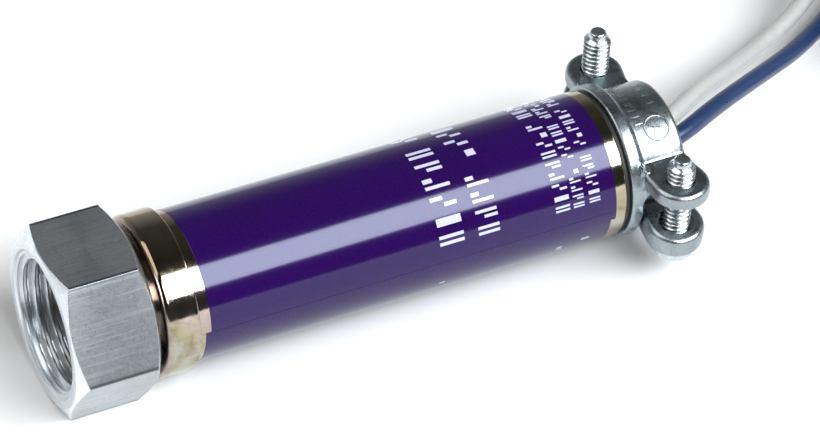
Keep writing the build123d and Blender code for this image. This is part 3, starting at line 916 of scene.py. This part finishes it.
class PROBE_OT_inside(bpy.types.Operator):
    """Build the window and the bushing, and finish the pieces inside the tube"""

    bl_idname = "probe.inside"
    bl_label = "Inside"

    def execute(self, context):
        low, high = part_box("quartz_window")
        window = shaded(new_object("window_pane", *disc(low.x, high.x, high.z, 0.15 * MM)))
        settled(window, "housing", "quartz", finish("quartz"), "quartz_window")

        low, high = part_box("throat_bushing")
        flange_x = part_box("connector_gasket")[1].x
        bore, hole, lip = 6.0 * MM, 7.4 * MM, high.z
        sleeve = [(low.x, bore), (low.x, lip), (flange_x, lip)]
        outline = sleeve + [(flange_x, hole), (high.x, hole), (high.x, bore)]
        lathe("lead_bushing", "throat_bushing", "bushing_plastic", outline, 0.3 * MM, corner_steps=5)

        record = frame["record"]
        slots = {part["node"]: part["material_slot"] for part in record["subparts"]}
        for node, piece in frame["nodes"].items():
            piece.data.materials.clear()
            piece.data.materials.append(finish(slots[node]))
        return {"FINISHED"}


# ---- clamp ---------------------------------------------------------------------------


def sector(outline, start, end, steps=48):
    """A closed outline of (x, radius) turned through part of a circle, with its two ends closed."""
    return capped([[round_x(x, r, turn) for x, r in outline] for turn in between(steps, start, end)])


def ear_outline(side, start_x, rear_x, centre_x):
    """The outline of an ear: a round end on a root that runs under the arch."""
    dims = sizes()
    root_y = dims.arch_inner_radius - 0.1 * MM
    neck_y = root_y + 1.5 * MM
    points = [(start_x, root_y)]
    for turn in between(28, math.radians(184), math.radians(-9)):
        x = centre_x + dims.ear_radius * math.cos(turn)
        points.append((x, dims.ear_spread + dims.ear_radius * math.sin(turn)))
    points += [(rear_x, neck_y), (rear_x, root_y)]
    return [Vector((x, side * y)) for x, y in points]


def inset(outline, distance):
    """An outline moved inwards, towards its own middle."""
    middle = sum(outline, Vector((0, 0))) / len(outline)
    return [p + (middle - p).normalized() * distance for p in outline]


def ear_plate(side, start_x, rear_x, centre_x, heights, roll, hole_radius):
    """An ear with a rolled edge and a hole for its screw."""
    low_z, high_z = heights
    outline = ear_outline(side, start_x, rear_x, centre_x)
    centre = Vector((centre_x, side * sizes().ear_spread))
    hole = [centre + (p - centre).normalized() * hole_radius for p in outline]
    rows = [[Vector((*p, high_z)) for p in hole]]
    for turn in between(5, 0.0, math.pi / 2):
        level = high_z - roll * (1 - math.cos(turn))
        rows.append([Vector((*p, level)) for p in inset(outline, roll * (1 - math.sin(turn)))])
    for turn in between(4, math.pi / 2, 0.0):
        level = low_z + 0.6 * roll * (1 - math.cos(turn))
        rows.append([Vector((*p, level)) for p in inset(outline, 0.6 * roll * (1 - math.sin(turn)))])
    rows.append([Vector((*p, low_z)) for p in hole])
    return skin(rows)


def fillet_wedge(side, run, across, heights):
    """A wedge that fills the corner between the flange and an ear."""
    corners = [(run[0], y, z) for y in across for z in heights] + [(run[1], y, heights[0]) for y in across]
    vertices = [Vector((x, side * y, z)) for x, y, z in corners]
    return vertices, [(0, 1, 3, 2), (0, 4, 5, 2), (1, 4, 5, 3), (0, 1, 4), (2, 3, 5)]


def raised_stroke(path, radius, width, height, closed=False):
    """A low rounded ridge on the arch, along points given as (x, angle round the probe)."""
    places = [Vector((x, turn * radius)) for x, turn in path]
    sunk, low = -0.16 * MM, 0.3 * height
    profile = ((-0.5, sunk), (-0.42, low), (-0.18, height), (0.18, height), (0.42, low), (0.5, sunk))
    rows = []
    for i, here in enumerate(places):
        before = places[i - 1] if i or closed else here
        after = places[(i + 1) % len(places)] if i + 1 < len(places) or closed else here
        run = (after - before).normalized()
        across = Vector((-run.y, run.x))
        row = []
        for offset, rise in profile:
            spot = here + across * offset * width
            row.append(round_x(spot.x, radius + rise, spot.y / radius))
        rows.append(row)
    return skin(rows) if closed else capped(rows)


def arch_marks(radius):
    """Plain raised marks on the arch: a ring with two chevrons in it, and short bars in two lines."""
    ring_x, ring_turn, ring_radius = 93.6 * MM, math.radians(31), 1.9 * MM
    turn_radius = ring_radius / radius
    ring = [(ring_x + ring_radius * math.cos(a), ring_turn + turn_radius * math.sin(a)) for a in even(40)]
    marks = [raised_stroke(ring, radius, 0.42 * MM, 0.22 * MM, closed=True)]
    for size in (0.55, 0.25):
        foot_x, foot_turn = ring_x - size * ring_radius, size * 1.1 * MM / radius
        tip = (ring_x + size * ring_radius * 0.9, ring_turn)
        chevron = [(foot_x, ring_turn - foot_turn), tip, (foot_x, ring_turn + foot_turn)]
        marks.append(raised_stroke(chevron, radius, 0.36 * MM, 0.2 * MM))
    bar_length, bar_width, bar_height = 1.2 * MM, 0.5 * MM, 0.035 * MM
    for line_x, degrees in ((90.6 * MM, range(-12, 30, 7)), (93.9 * MM, range(-24, 8, 10))):
        for turn in map(math.radians, degrees):
            bar = [(line_x, turn), (line_x + bar_length, turn)]
            marks.append(raised_stroke(bar, radius, bar_width, bar_height))
    return marks


def clamp_stations():
    """Where the flange, the arch and the ears start and end along the probe."""
    gasket_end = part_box("connector_gasket")[1].x
    arch_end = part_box("clamp_strap")[1].x - 0.8 * MM
    screw_low, screw_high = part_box("clamp_screw_near")
    return gasket_end, gasket_end + 2.2 * MM, arch_end, (screw_low.x + screw_high.x) / 2


def build_connector():
    """The connector's casting: flange, arch, two ears and the fillets between them."""
    dims = sizes()
    flange_x, flange_rear, arch_rear, ear_x = clamp_stations()
    body_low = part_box("connector_body")[0]
    flange_radius = -body_low.z
    hole, sink, rim, overlap, ear_roll = 7.4 * MM, 0.5 * MM, 0.35 * MM, 0.2 * MM, 0.95 * MM
    flange = [
        (flange_x, hole),
        (flange_x, flange_radius - rim / 2),
        (flange_x + rim / 2, flange_radius),
        (flange_rear - rim, flange_radius),
        (flange_rear, flange_radius - rim),
        (flange_rear, hole),
    ]
    arch = [
        (flange_rear - sink, dims.arch_inner_radius),
        (flange_rear - sink, dims.arch_outer_radius),
        (flange_rear + 0.15 * MM, dims.arch_outer_radius + 0.5 * MM),
        (flange_rear + 0.7 * MM, dims.arch_outer_radius),
        (arch_rear - 0.6 * MM, dims.arch_outer_radius),
        (arch_rear - 0.12 * MM, dims.arch_outer_radius - 0.3 * MM),
        (arch_rear, dims.arch_outer_radius - 0.8 * MM),
        (arch_rear, dims.arch_inner_radius),
    ]
    ear_under = dims.ear_top - dims.ear_thickness
    arch_turn = math.acos((ear_under + overlap) / dims.arch_outer_radius)
    shells = [turned(flange), sector(arch, -arch_turn, arch_turn)]
    tapped = dims.screw_radius + 0.08 * MM
    top, under = dims.ear_top - overlap, ear_under + overlap
    start_x = flange_rear - sink
    # the web under the far ear is smaller, so that the strap clears it when it rises
    for side, web_reach, web_drop in ((-1, 1.7 * MM, 2.6 * MM), (1, 1.3 * MM, 1.5 * MM)):
        heights = (ear_under, dims.ear_top)
        shells.append(ear_plate(side, start_x, arch_rear, ear_x, heights, ear_roll, tapped))
        run = (start_x, flange_rear + 1.2 * MM)
        shells.append(fillet_wedge(side, run, (8.8 * MM, 10.6 * MM), (top, top + 1.5 * MM)))
        run = (start_x, flange_rear + web_reach)
        shells.append(fillet_wedge(side, run, (8.4 * MM, 11.6 * MM), (under, under - web_drop)))
    return cast("cast_connector", shells, dims.cast_grain, 7)


def build_throat():
    """The connector's turned throat, pressed into the tube."""
    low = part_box("connector_body")[0]
    flange_x = clamp_stations()[0]
    inner, outer, sink = 8.2 * MM, 10.3 * MM, 0.6 * MM
    return turned(softened(band(low.x, flange_x + sink, inner, outer), 0.25 * MM))


def joined(name, first, *shells):
    """A piece and more closed shells in one mesh."""
    extra = new_object(name + "_extra", *merged(shells))
    mesh = bmesh.new()
    mesh.from_mesh(first.data)
    mesh.from_mesh(extra.data)
    mesh.to_mesh(first.data)
    mesh.free()
    bpy.data.objects.remove(extra)
    first.name = name
    return smoothed(first, 60.0)


def build_strap():
    """The loose lower half of the clamp, hanging a little askew."""
    dims = sizes()
    _, flange_rear, arch_rear, ear_x = clamp_stations()
    start_x = flange_rear + 0.4 * MM
    rise, ear_roll, screw_hole = 1.0 * MM, 0.95 * MM, 2.6 * MM
    bow = [
        (start_x, dims.arch_inner_radius),
        (start_x, dims.arch_outer_radius - 0.3 * MM),
        (start_x + 0.3 * MM, dims.arch_outer_radius),
        (arch_rear - 0.6 * MM, dims.arch_outer_radius),
        (arch_rear, dims.arch_outer_radius - 0.6 * MM),
        (arch_rear, dims.arch_inner_radius),
    ]
    start_turn = math.acos(-(rise + 0.3 * MM) / dims.arch_outer_radius)
    vertices, faces = sector(bow, start_turn, math.tau - start_turn, 72)
    vertices = [v + Vector((0, 0, rise)) for v in vertices]
    shells = [(vertices, faces)]
    for side in (-1, 1):
        heights = (-dims.strap_thickness, 0.0)
        shells.append(ear_plate(side, start_x, arch_rear, ear_x, heights, ear_roll, screw_hole))
    strap = cast("cast_strap", shells, dims.cast_grain, 7)
    tilt = Matrix.Translation((0, 0, dims.strap_height)) @ Matrix.Rotation(dims.strap_tilt, 4, "X")
    strap.data.transform(tilt)
    return strap


class PROBE_OT_clamp(bpy.types.Operator):
    """Cast the conduit connector and its loose strap"""

    bl_idname = "probe.clamp"
    bl_label = "Clamp"

    def execute(self, context):
        body = build_connector()
        body = joined("cast_connector", body, build_throat(), *arch_marks(sizes().arch_outer_radius))
        settled(body, "housing", "die_cast_zinc", finish("die_cast_zinc"), "connector_body")
        settled(build_strap(), "strap", "die_cast_zinc", finish("die_cast_zinc"), "clamp_strap")
        return {"FINISHED"}


# ---- screws --------------------------------------------------------------------------


def upright(radius, z, turn, centre):
    """A point round a screw's own axis."""
    return Vector((centre.x + radius * math.cos(turn), centre.y + radius * math.sin(turn), z))


def screw_shank(centre, seat_z, tip_z):
    """A threaded shank with a chamfered dog point, closed at both ends."""
    dims = sizes()
    depth, steps_per_turn = 0.42 * MM, 9
    middle = dims.screw_radius - depth / 2
    dog, dog_length, chamfer, cone_slope = 1.28 * MM, 0.9 * MM, 0.22 * MM, 1.3
    shoulder = tip_z - dog_length
    turns = even(44)
    rows = []
    count = int((shoulder - seat_z) / (dims.screw_pitch / steps_per_turn))
    for z in between(count, seat_z - 0.3 * MM, shoulder - 0.05 * MM):
        cone = dog + max(0.0, shoulder - z) * cone_slope
        row = []
        for turn in turns:
            wave = math.cos(math.tau * (z - seat_z) / dims.screw_pitch - turn)
            row.append(upright(min(middle + depth / 2 * wave, cone), z, turn, centre))
        rows.append(row)
    for radius, z in ((dog, shoulder + 0.1 * MM), (dog, tip_z - chamfer), (dog - chamfer, tip_z)):
        rows.append([upright(radius, z, turn, centre) for turn in turns])
    rows.append([upright(0.55 * dog, tip_z - 0.05 * MM, turn, centre) for turn in turns])
    return capped(rows)


def screw_head(centre, low_z, seat_z, slot_turn):
    """A pan head with a driver slot across it."""
    radius, dome = sizes().head_radius, 0.55 * MM
    levels = [(radius - 0.05 * MM, seat_z), (radius, seat_z - 0.12 * MM), (radius, low_z + dome)]
    for turn in between(7, 0.0, math.pi / 2)[1:]:
        levels.append((radius - dome * (1 - math.cos(turn)), low_z + dome * (1 - math.sin(turn))))
    rows = [[upright(r, z, turn, centre) for turn in even(64)] for r, z in levels]
    head = new_object("pan_head", *capped(rows))
    half_width, depth, reach = 0.55 * MM, 0.9 * MM, 4.5 * MM
    heights = (low_z - 1 * MM, low_z + depth)
    corners = [(x, y, z) for x in (-reach, reach) for y in (-half_width, half_width) for z in heights]
    spin = Matrix.Translation((centre.x, centre.y, 0)) @ Matrix.Rotation(slot_turn, 4, "Z")
    box = [(0, 1, 3, 2), (4, 5, 7, 6), (0, 1, 5, 4), (2, 3, 7, 6), (0, 2, 6, 4), (1, 3, 7, 5)]
    cutter = new_object("slot_cutter", [spin @ Vector(c) for c in corners], box)
    cut = head.modifiers.new("Slot", "BOOLEAN")
    cut.operation = "DIFFERENCE"
    cut.solver = "EXACT"
    cut.object = cutter
    edges = head.modifiers.new("Soft edges", "BEVEL")
    edges.width = 0.06 * MM
    edges.segments = 2
    edges.limit_method = "ANGLE"
    edges.angle_limit = math.radians(35.0)
    baked(head)
    bpy.data.objects.remove(cutter)
    return head


class PROBE_OT_screws(bpy.types.Operator):
    """Cut the two clamp screws, which stand point up"""

    bl_idname = "probe.screws"
    bl_label = "Clamp screws"

    def execute(self, context):
        head_height = sizes().head_height
        for side, slot_turn in (("near", 0.5), ("far", 2.1)):
            node = f"clamp_screw_{side}"
            low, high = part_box(node)
            centre = (low + high) / 2
            seat_z = low.z + head_height
            head = screw_head(centre, low.z, seat_z, slot_turn)
            screw = smoothed(joined(f"screw_{side}", head, screw_shank(centre, seat_z, high.z)), 50.0)
            finishes = [finish("zinc_plated_screw"), finish("thread_root")]
            settled(screw, f"screw_{side}", "zinc_plated_screw", finishes, node)
            # painted shade: faces in the thread's roots take the darker copy of the zinc
            root_radius, thread_end = sizes().screw_radius - 0.2 * MM, high.z - 1.3 * MM
            for face in screw.data.polygons:
                from_axis = (face.center.xy - centre.xy).length
                face.material_index = int(seat_z < face.center.z < thread_end and from_axis < root_radius)
        return {"FINISHED"}


# ---- leads ---------------------------------------------------------------------------

# Each lead's free stretch: straight out of the connector, sagging to the coils.
WHITE_POINTS = (
    (0.0880, 0.0018, 0.0),
    (0.0915, 0.0018, 0.0),
    (0.0995, 0.0026, 0.0009),
    (0.1080, 0.0079, 0.0003),
    (0.1176, 0.0136, -0.0027),
    (0.1285, 0.0208, -0.0062),
    (0.1390, 0.0270, -0.0062),
    (0.1490, 0.0330, 0.0006),
    (0.1599, 0.0382, 0.0024),
)
BLUE_POINTS = (
    (0.0880, -0.0018, 0.0),
    (0.0915, -0.0018, 0.0),
    (0.1000, -0.0011, 0.0011),
    (0.1092, 0.0039, 0.0002),
    (0.1206, 0.0106, -0.0030),
    (0.1333, 0.0184, -0.0072),
    (0.1462, 0.0284, -0.0102),
    (0.1591, 0.0378, -0.0104),
)
COIL_CENTRE = Vector((0.1708, 0.0200))


def outer_turn():
    """The radius at the middle of a coil's outermost turn."""
    dims = sizes()
    return dims.coil_radius + (dims.coil_columns - 1) / 2 * dims.coil_pitch


def coil_turns(base_z, start_degrees, end_degrees, steps=16):
    """Points of a neat coil wound clockwise, in and out again layer by layer."""
    dims = sizes()
    swell = 1 / (0.75 + 0.25 * math.cos(math.tau / steps))
    jog = 0.12
    outer = outer_turn()
    last_start = dims.coil_columns * dims.coil_layers - 1
    turns = last_start + ((start_degrees - end_degrees) % 360) / 360
    points = []
    for step in range(1, int(turns * steps) + 1):
        turn = min(step / steps, turns)
        whole = int(turn + 0.001)
        moving = blend_in(turn - whole, 1 - jog, 1.0)
        places = []
        for count in (whole, whole + 1):
            layer, column = divmod(count, dims.coil_columns)
            across = column if layer % 2 == 0 else dims.coil_columns - 1 - column
            z = base_z + (layer + 0.5) * dims.coil_pitch
            places.append(Vector((outer - across * dims.coil_pitch, z)))
        radius, z = places[0].lerp(places[1], moving) if turn < last_start else places[0]
        a = math.radians(start_degrees) - turn * math.tau
        x = COIL_CENTRE.x + swell * radius * math.cos(a)
        y = COIL_CENTRE.y + swell * radius * math.sin(a)
        points.append((x, y, z))
    return points


def tangent_run(base_z, end_degrees, distance):
    """A point that far along the tangent where a lead leaves the coil's last turn."""
    dims = sizes()
    outer = outer_turn()
    a = math.radians(end_degrees)
    z = base_z + (dims.coil_layers - 0.5) * dims.coil_pitch
    x = COIL_CENTRE.x + outer * math.cos(a) + distance * math.sin(a)
    y = COIL_CENTRE.y + outer * math.sin(a) - distance * math.cos(a)
    return Vector((x, y, z))


def lead_curve(name, points, diameter):
    """One smooth line through the lead's route, as thick as the lead."""
    curve = bpy.data.curves.new(name, "CURVE")
    curve.dimensions = "3D"
    curve.resolution_u = 6
    curve.bevel_depth = diameter / 2
    curve.bevel_resolution = 5
    curve.use_fill_caps = True
    curve.twist_mode = "MINIMUM"
    spline = curve.splines.new("NURBS")
    spline.points.add(len(points) - 1)
    for point, place in zip(spline.points, points):
        point.co = (*place, 1.0)
    spline.order_u = 3
    spline.use_endpoint_u = True
    lead = bpy.data.objects.new(name, curve)
    bpy.context.scene.collection.objects.link(lead)
    return lead


def twisted_strands(name, start, end, radius):
    """The stripped end of a lead: six strands twisted round a seventh."""
    along = (end - start).normalized()
    side = along.orthogonal().normalized()
    other = along.cross(side)
    strand_radius = radius / 3
    span = (end - start).length
    shells = []
    for strand in range(7):
        ring_radius = 0.0 if strand == 6 else 2 * strand_radius
        reach = span - (0.0 if strand == 6 else 0.05 * MM * strand)
        rows = []
        for s in between(40, -0.6 * MM, reach):
            a = strand * math.tau / 6 + s / span * math.tau * 1.6
            middle = start + along * s + (side * math.cos(a) + other * math.sin(a)) * ring_radius
            round_middle = [side * math.cos(b) + other * math.sin(b) for b in even(10)]
            rows.append([middle + way * strand_radius for way in round_middle])
        shells.append(capped(rows))
    return smoothed(new_object(name, *merged(shells)), 50.0)


def tie_band(degrees):
    """One flat band round both coils."""
    dims = sizes()
    low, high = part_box("coil_ties")
    half = dims.coil_columns * dims.coil_pitch / 2
    tie_width, clearance = 4.0 * MM, 0.1 * MM
    inner_x = math.sqrt((dims.coil_radius - half) ** 2 - (tie_width / 2) ** 2) - clearance
    outer_x = dims.coil_radius + half + clearance
    thick = dims.tie_thickness
    low_z, high_z = low.z + thick, high.z - thick
    box = [(inner_x, low_z), (outer_x, low_z), (outer_x, high_z), (inner_x, high_z)]
    middle = Vector(((inner_x + outer_x) / 2, (low.z + high.z) / 2))
    inner = softened(box, 0.9 * MM, 6)
    bigger = []
    for x, z in box:
        bigger.append((x + math.copysign(thick, x - middle.x), z + math.copysign(thick, z - middle.y)))
    outer = softened(bigger, 1.6 * MM, 6)
    turn = Matrix.Rotation(math.radians(degrees), 4, "Z")
    spin = Matrix.Translation((COIL_CENTRE.x, COIL_CENTRE.y, 0)) @ turn
    soft = 0.18
    half_width, flat_width = tie_width / 2, 0.93 * tie_width / 2
    rows = []
    for a, b in zip(inner, outer):
        section = [
            (b, -flat_width),
            (b, flat_width),
            (b.lerp(a, soft), half_width),
            (a.lerp(b, soft), half_width),
            (a, flat_width),
            (a, -flat_width),
            (a.lerp(b, soft), -half_width),
            (b.lerp(a, soft), -half_width),
        ]
        rows.append([spin @ Vector((p.x, y, p.y)) for p, y in section])
    return skin(rows)


class PROBE_OT_leads(bpy.types.Operator):
    """Lay the two leads, coil their spare length and tie the coils"""

    bl_idname = "probe.leads"
    bl_label = "Leads"

    def execute(self, context):
        dims = sizes()
        bands = shaded(new_object("tie_bands", *merged([tie_band(-10.0), tie_band(190.0)])))
        settled(bands, "housing", "tie_nylon", finish("tie_nylon"), "coil_ties")
        runs = (
            ("white", WHITE_POINTS, 120.9, -62.0, 1.83, []),
            ("blue", BLUE_POINTS, 123.3, -80.0, 1.83, [bands]),
        )
        stripped, strand_bundle = 9.0 * MM, 0.55 * MM
        outside = dims.coil_radius + dims.coil_columns * dims.coil_pitch / 2
        run_out = math.sqrt(outside**2 - outer_turn() ** 2)
        for name, points, start_degrees, end_degrees, nominal, pieces in runs:
            base_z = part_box(f"lead_{name}_coil")[0].z
            route = list(points) + coil_turns(base_z, start_degrees, end_degrees)
            route += [tangent_run(base_z, end_degrees, run_out * share) for share in (0.35, 0.7, 1.0)]
            lead = lead_curve(f"{name}_lead", route, dims.lead_diameter)
            start = tangent_run(base_z, end_degrees, run_out)
            end = tangent_run(base_z, end_degrees, run_out + stripped)
            strands = twisted_strands(f"{name}_strands", start, end, strand_bundle)
            settled(strands, "housing", "tinned_copper", finish("tinned_copper"), f"lead_{name}_end")
            nodes = (f"lead_{name}", f"lead_{name}_coil")
            settled(lead, "housing", f"{name}_insulation", finish(f"{name}_insulation"), *nodes)
        return {"FINISHED"}


# ---- stage ---------------------------------------------------------------------------


# Each light: the way that it lies, its distance, width and height in metres, radiance and colour.
LIGHTS = {
    "key": ((0.346, -0.62, 0.70), 1.6, 1.8, 0.85, 12.5, (0.94, 0.97, 1.0)),
    "overhead": ((-0.60, 0.10, 0.79), 0.95, 0.9, 0.9, 2.0, (1.0, 0.99, 0.97)),
}


def aimed_light(name, target, towards, distance, width, height, radiance, shade):
    """A soft box that faces the probe from a direction."""
    lamp = bpy.data.lights.new(name, "AREA")
    lamp.shape = "RECTANGLE"
    lamp.size = width
    lamp.size_y = height
    lamp.energy = radiance * math.pi * width * height
    lamp.color = shade
    light = bpy.data.objects.new(name, lamp)
    bpy.context.scene.collection.objects.link(light)
    way = Vector(towards).normalized()
    light.location = target + way * distance
    light.rotation_euler = way.to_track_quat("Z", "Y").to_euler()
    return light


def spread(nodes, links, value, from_low, from_high, to_low, to_high):
    """A value from from_low to from_high spread from to_low to to_high."""
    node = nodes.new("ShaderNodeMapRange")
    links.new(value, node.inputs["Value"])
    for socket, number in enumerate((from_low, from_high, to_low, to_high), 1):
        node.inputs[socket].default_value = number
    return node.outputs[0]


def studio_world():
    """Surroundings that are dim above and in front, bright behind, and plain where the camera sees them."""
    world = bpy.data.worlds.new("studio")
    world.use_nodes = True
    nodes, links = world.node_tree.nodes, world.node_tree.links
    background = nodes["Background"]
    background.inputs["Color"].default_value = (0.93, 0.97, 1.0, 1.0)
    place = nodes.new("ShaderNodeTexCoord")
    split = nodes.new("ShaderNodeSeparateXYZ")
    links.new(place.outputs["Generated"], split.inputs[0])
    glow = nodes.new("ShaderNodeMath")
    glow.operation = "MULTIPLY"
    links.new(spread(nodes, links, split.outputs["Z"], 0.05, 0.6, 0.5, 0.097), glow.inputs[0])
    links.new(spread(nodes, links, split.outputs["Y"], -0.5, 0.6, 0.12, 1.0), glow.inputs[1])
    seen = nodes.new("ShaderNodeLightPath")
    mixed = nodes.new("ShaderNodeMix")
    links.new(seen.outputs["Is Camera Ray"], mixed.inputs[0])
    links.new(glow.outputs[0], mixed.inputs[2])
    backdrop = 0.93
    mixed.inputs[3].default_value = backdrop
    links.new(mixed.outputs[0], background.inputs["Strength"])
    bpy.context.scene.world = world


class PROBE_OT_stage(bpy.types.Operator):
    """Set the floor, the soft lights and the camera"""

    bl_idname = "probe.stage"
    bl_label = "Stage"

    def execute(self, context):
        scene = context.scene
        scene.view_settings.view_transform = "Standard"
        ground_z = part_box("mounting_collar")[0].z
        reach = 2.5  # metres to each side
        corners = [(-reach, -reach), (reach, -reach), (reach, reach), (-reach, reach)]
        floor = new_object("floor", [(x, y, ground_z) for x, y in corners], [(0, 1, 2, 3)])
        floor.data.materials.append(floor_paper(tuple(scene.probe_colours.floor)))

        target = Vector((0.048, 0.0, 0.0))
        for name, settings in LIGHTS.items():
            aimed_light(name, target, *settings)
        studio_world()

        lens = bpy.data.cameras.new("camera")
        lens.lens, lens.sensor_width = 180.57, 36.0
        lens.clip_start, lens.clip_end = 0.01, 10.0
        camera = bpy.data.objects.new("camera", lens)
        scene.collection.objects.link(camera)
        # a long lens that looks down past the mouth, with the probe lying across the view
        right = Vector((0.8997, -0.4346, 0.0406))
        up = Vector((0.2656, 0.6189, 0.7392))
        back = Vector((-0.3464, -0.6543, 0.6723))
        place = Matrix((right, up, back)).transposed().to_4x4()
        place.translation = (-0.15121, -0.39208, 0.40222)
        camera.matrix_world = place
        scene.camera = camera
        return {"FINISHED"}


# ---- panel and registration ----------------------------------------------------------

STEPS = (
    PROBE_OT_stage,
    PROBE_OT_leads,
    PROBE_OT_inside,
    PROBE_OT_collar,
    PROBE_OT_spud,
    PROBE_OT_housing,
    PROBE_OT_label,
    PROBE_OT_clamp,
    PROBE_OT_screws,
)


class PROBE_PT_panel(bpy.types.Panel):
    """The probe's pieces, sizes and colours in the sidebar"""

    bl_idname = "PROBE_PT_panel"
    bl_label = "Flame Sensor Probe"
    bl_space_type = "VIEW_3D"
    bl_region_type = "UI"
    bl_category = "Probe"

    def draw(self, context):
        column = self.layout.column(align=True)
        for step in STEPS:
            column.operator(step.bl_idname)
        for group in (context.scene.probe_sizes, context.scene.probe_colours):
            box = self.layout.box()
            for name in group.__annotations__:
                box.prop(group, name)


CLASSES = (ProbeSizes, ProbeColours, *STEPS, PROBE_PT_panel)


def register():
    """Adds the classes and the two groups of settings."""
    for cls in CLASSES:
        bpy.utils.register_class(cls)
    bpy.types.Scene.probe_sizes = PointerProperty(type=ProbeSizes)
    bpy.types.Scene.probe_colours = PointerProperty(type=ProbeColours)


def unregister():
    """Takes them away again."""
    del bpy.types.Scene.probe_colours
    del bpy.types.Scene.probe_sizes
    for cls in reversed(CLASSES):
        bpy.utils.unregister_class(cls)


def main():
    """Builds the whole probe."""
    register()
    for step in STEPS:
        group, name = step.bl_idname.split(".")
        getattr(getattr(bpy.ops, group), name)()


if __name__ == "__main__":
    main()
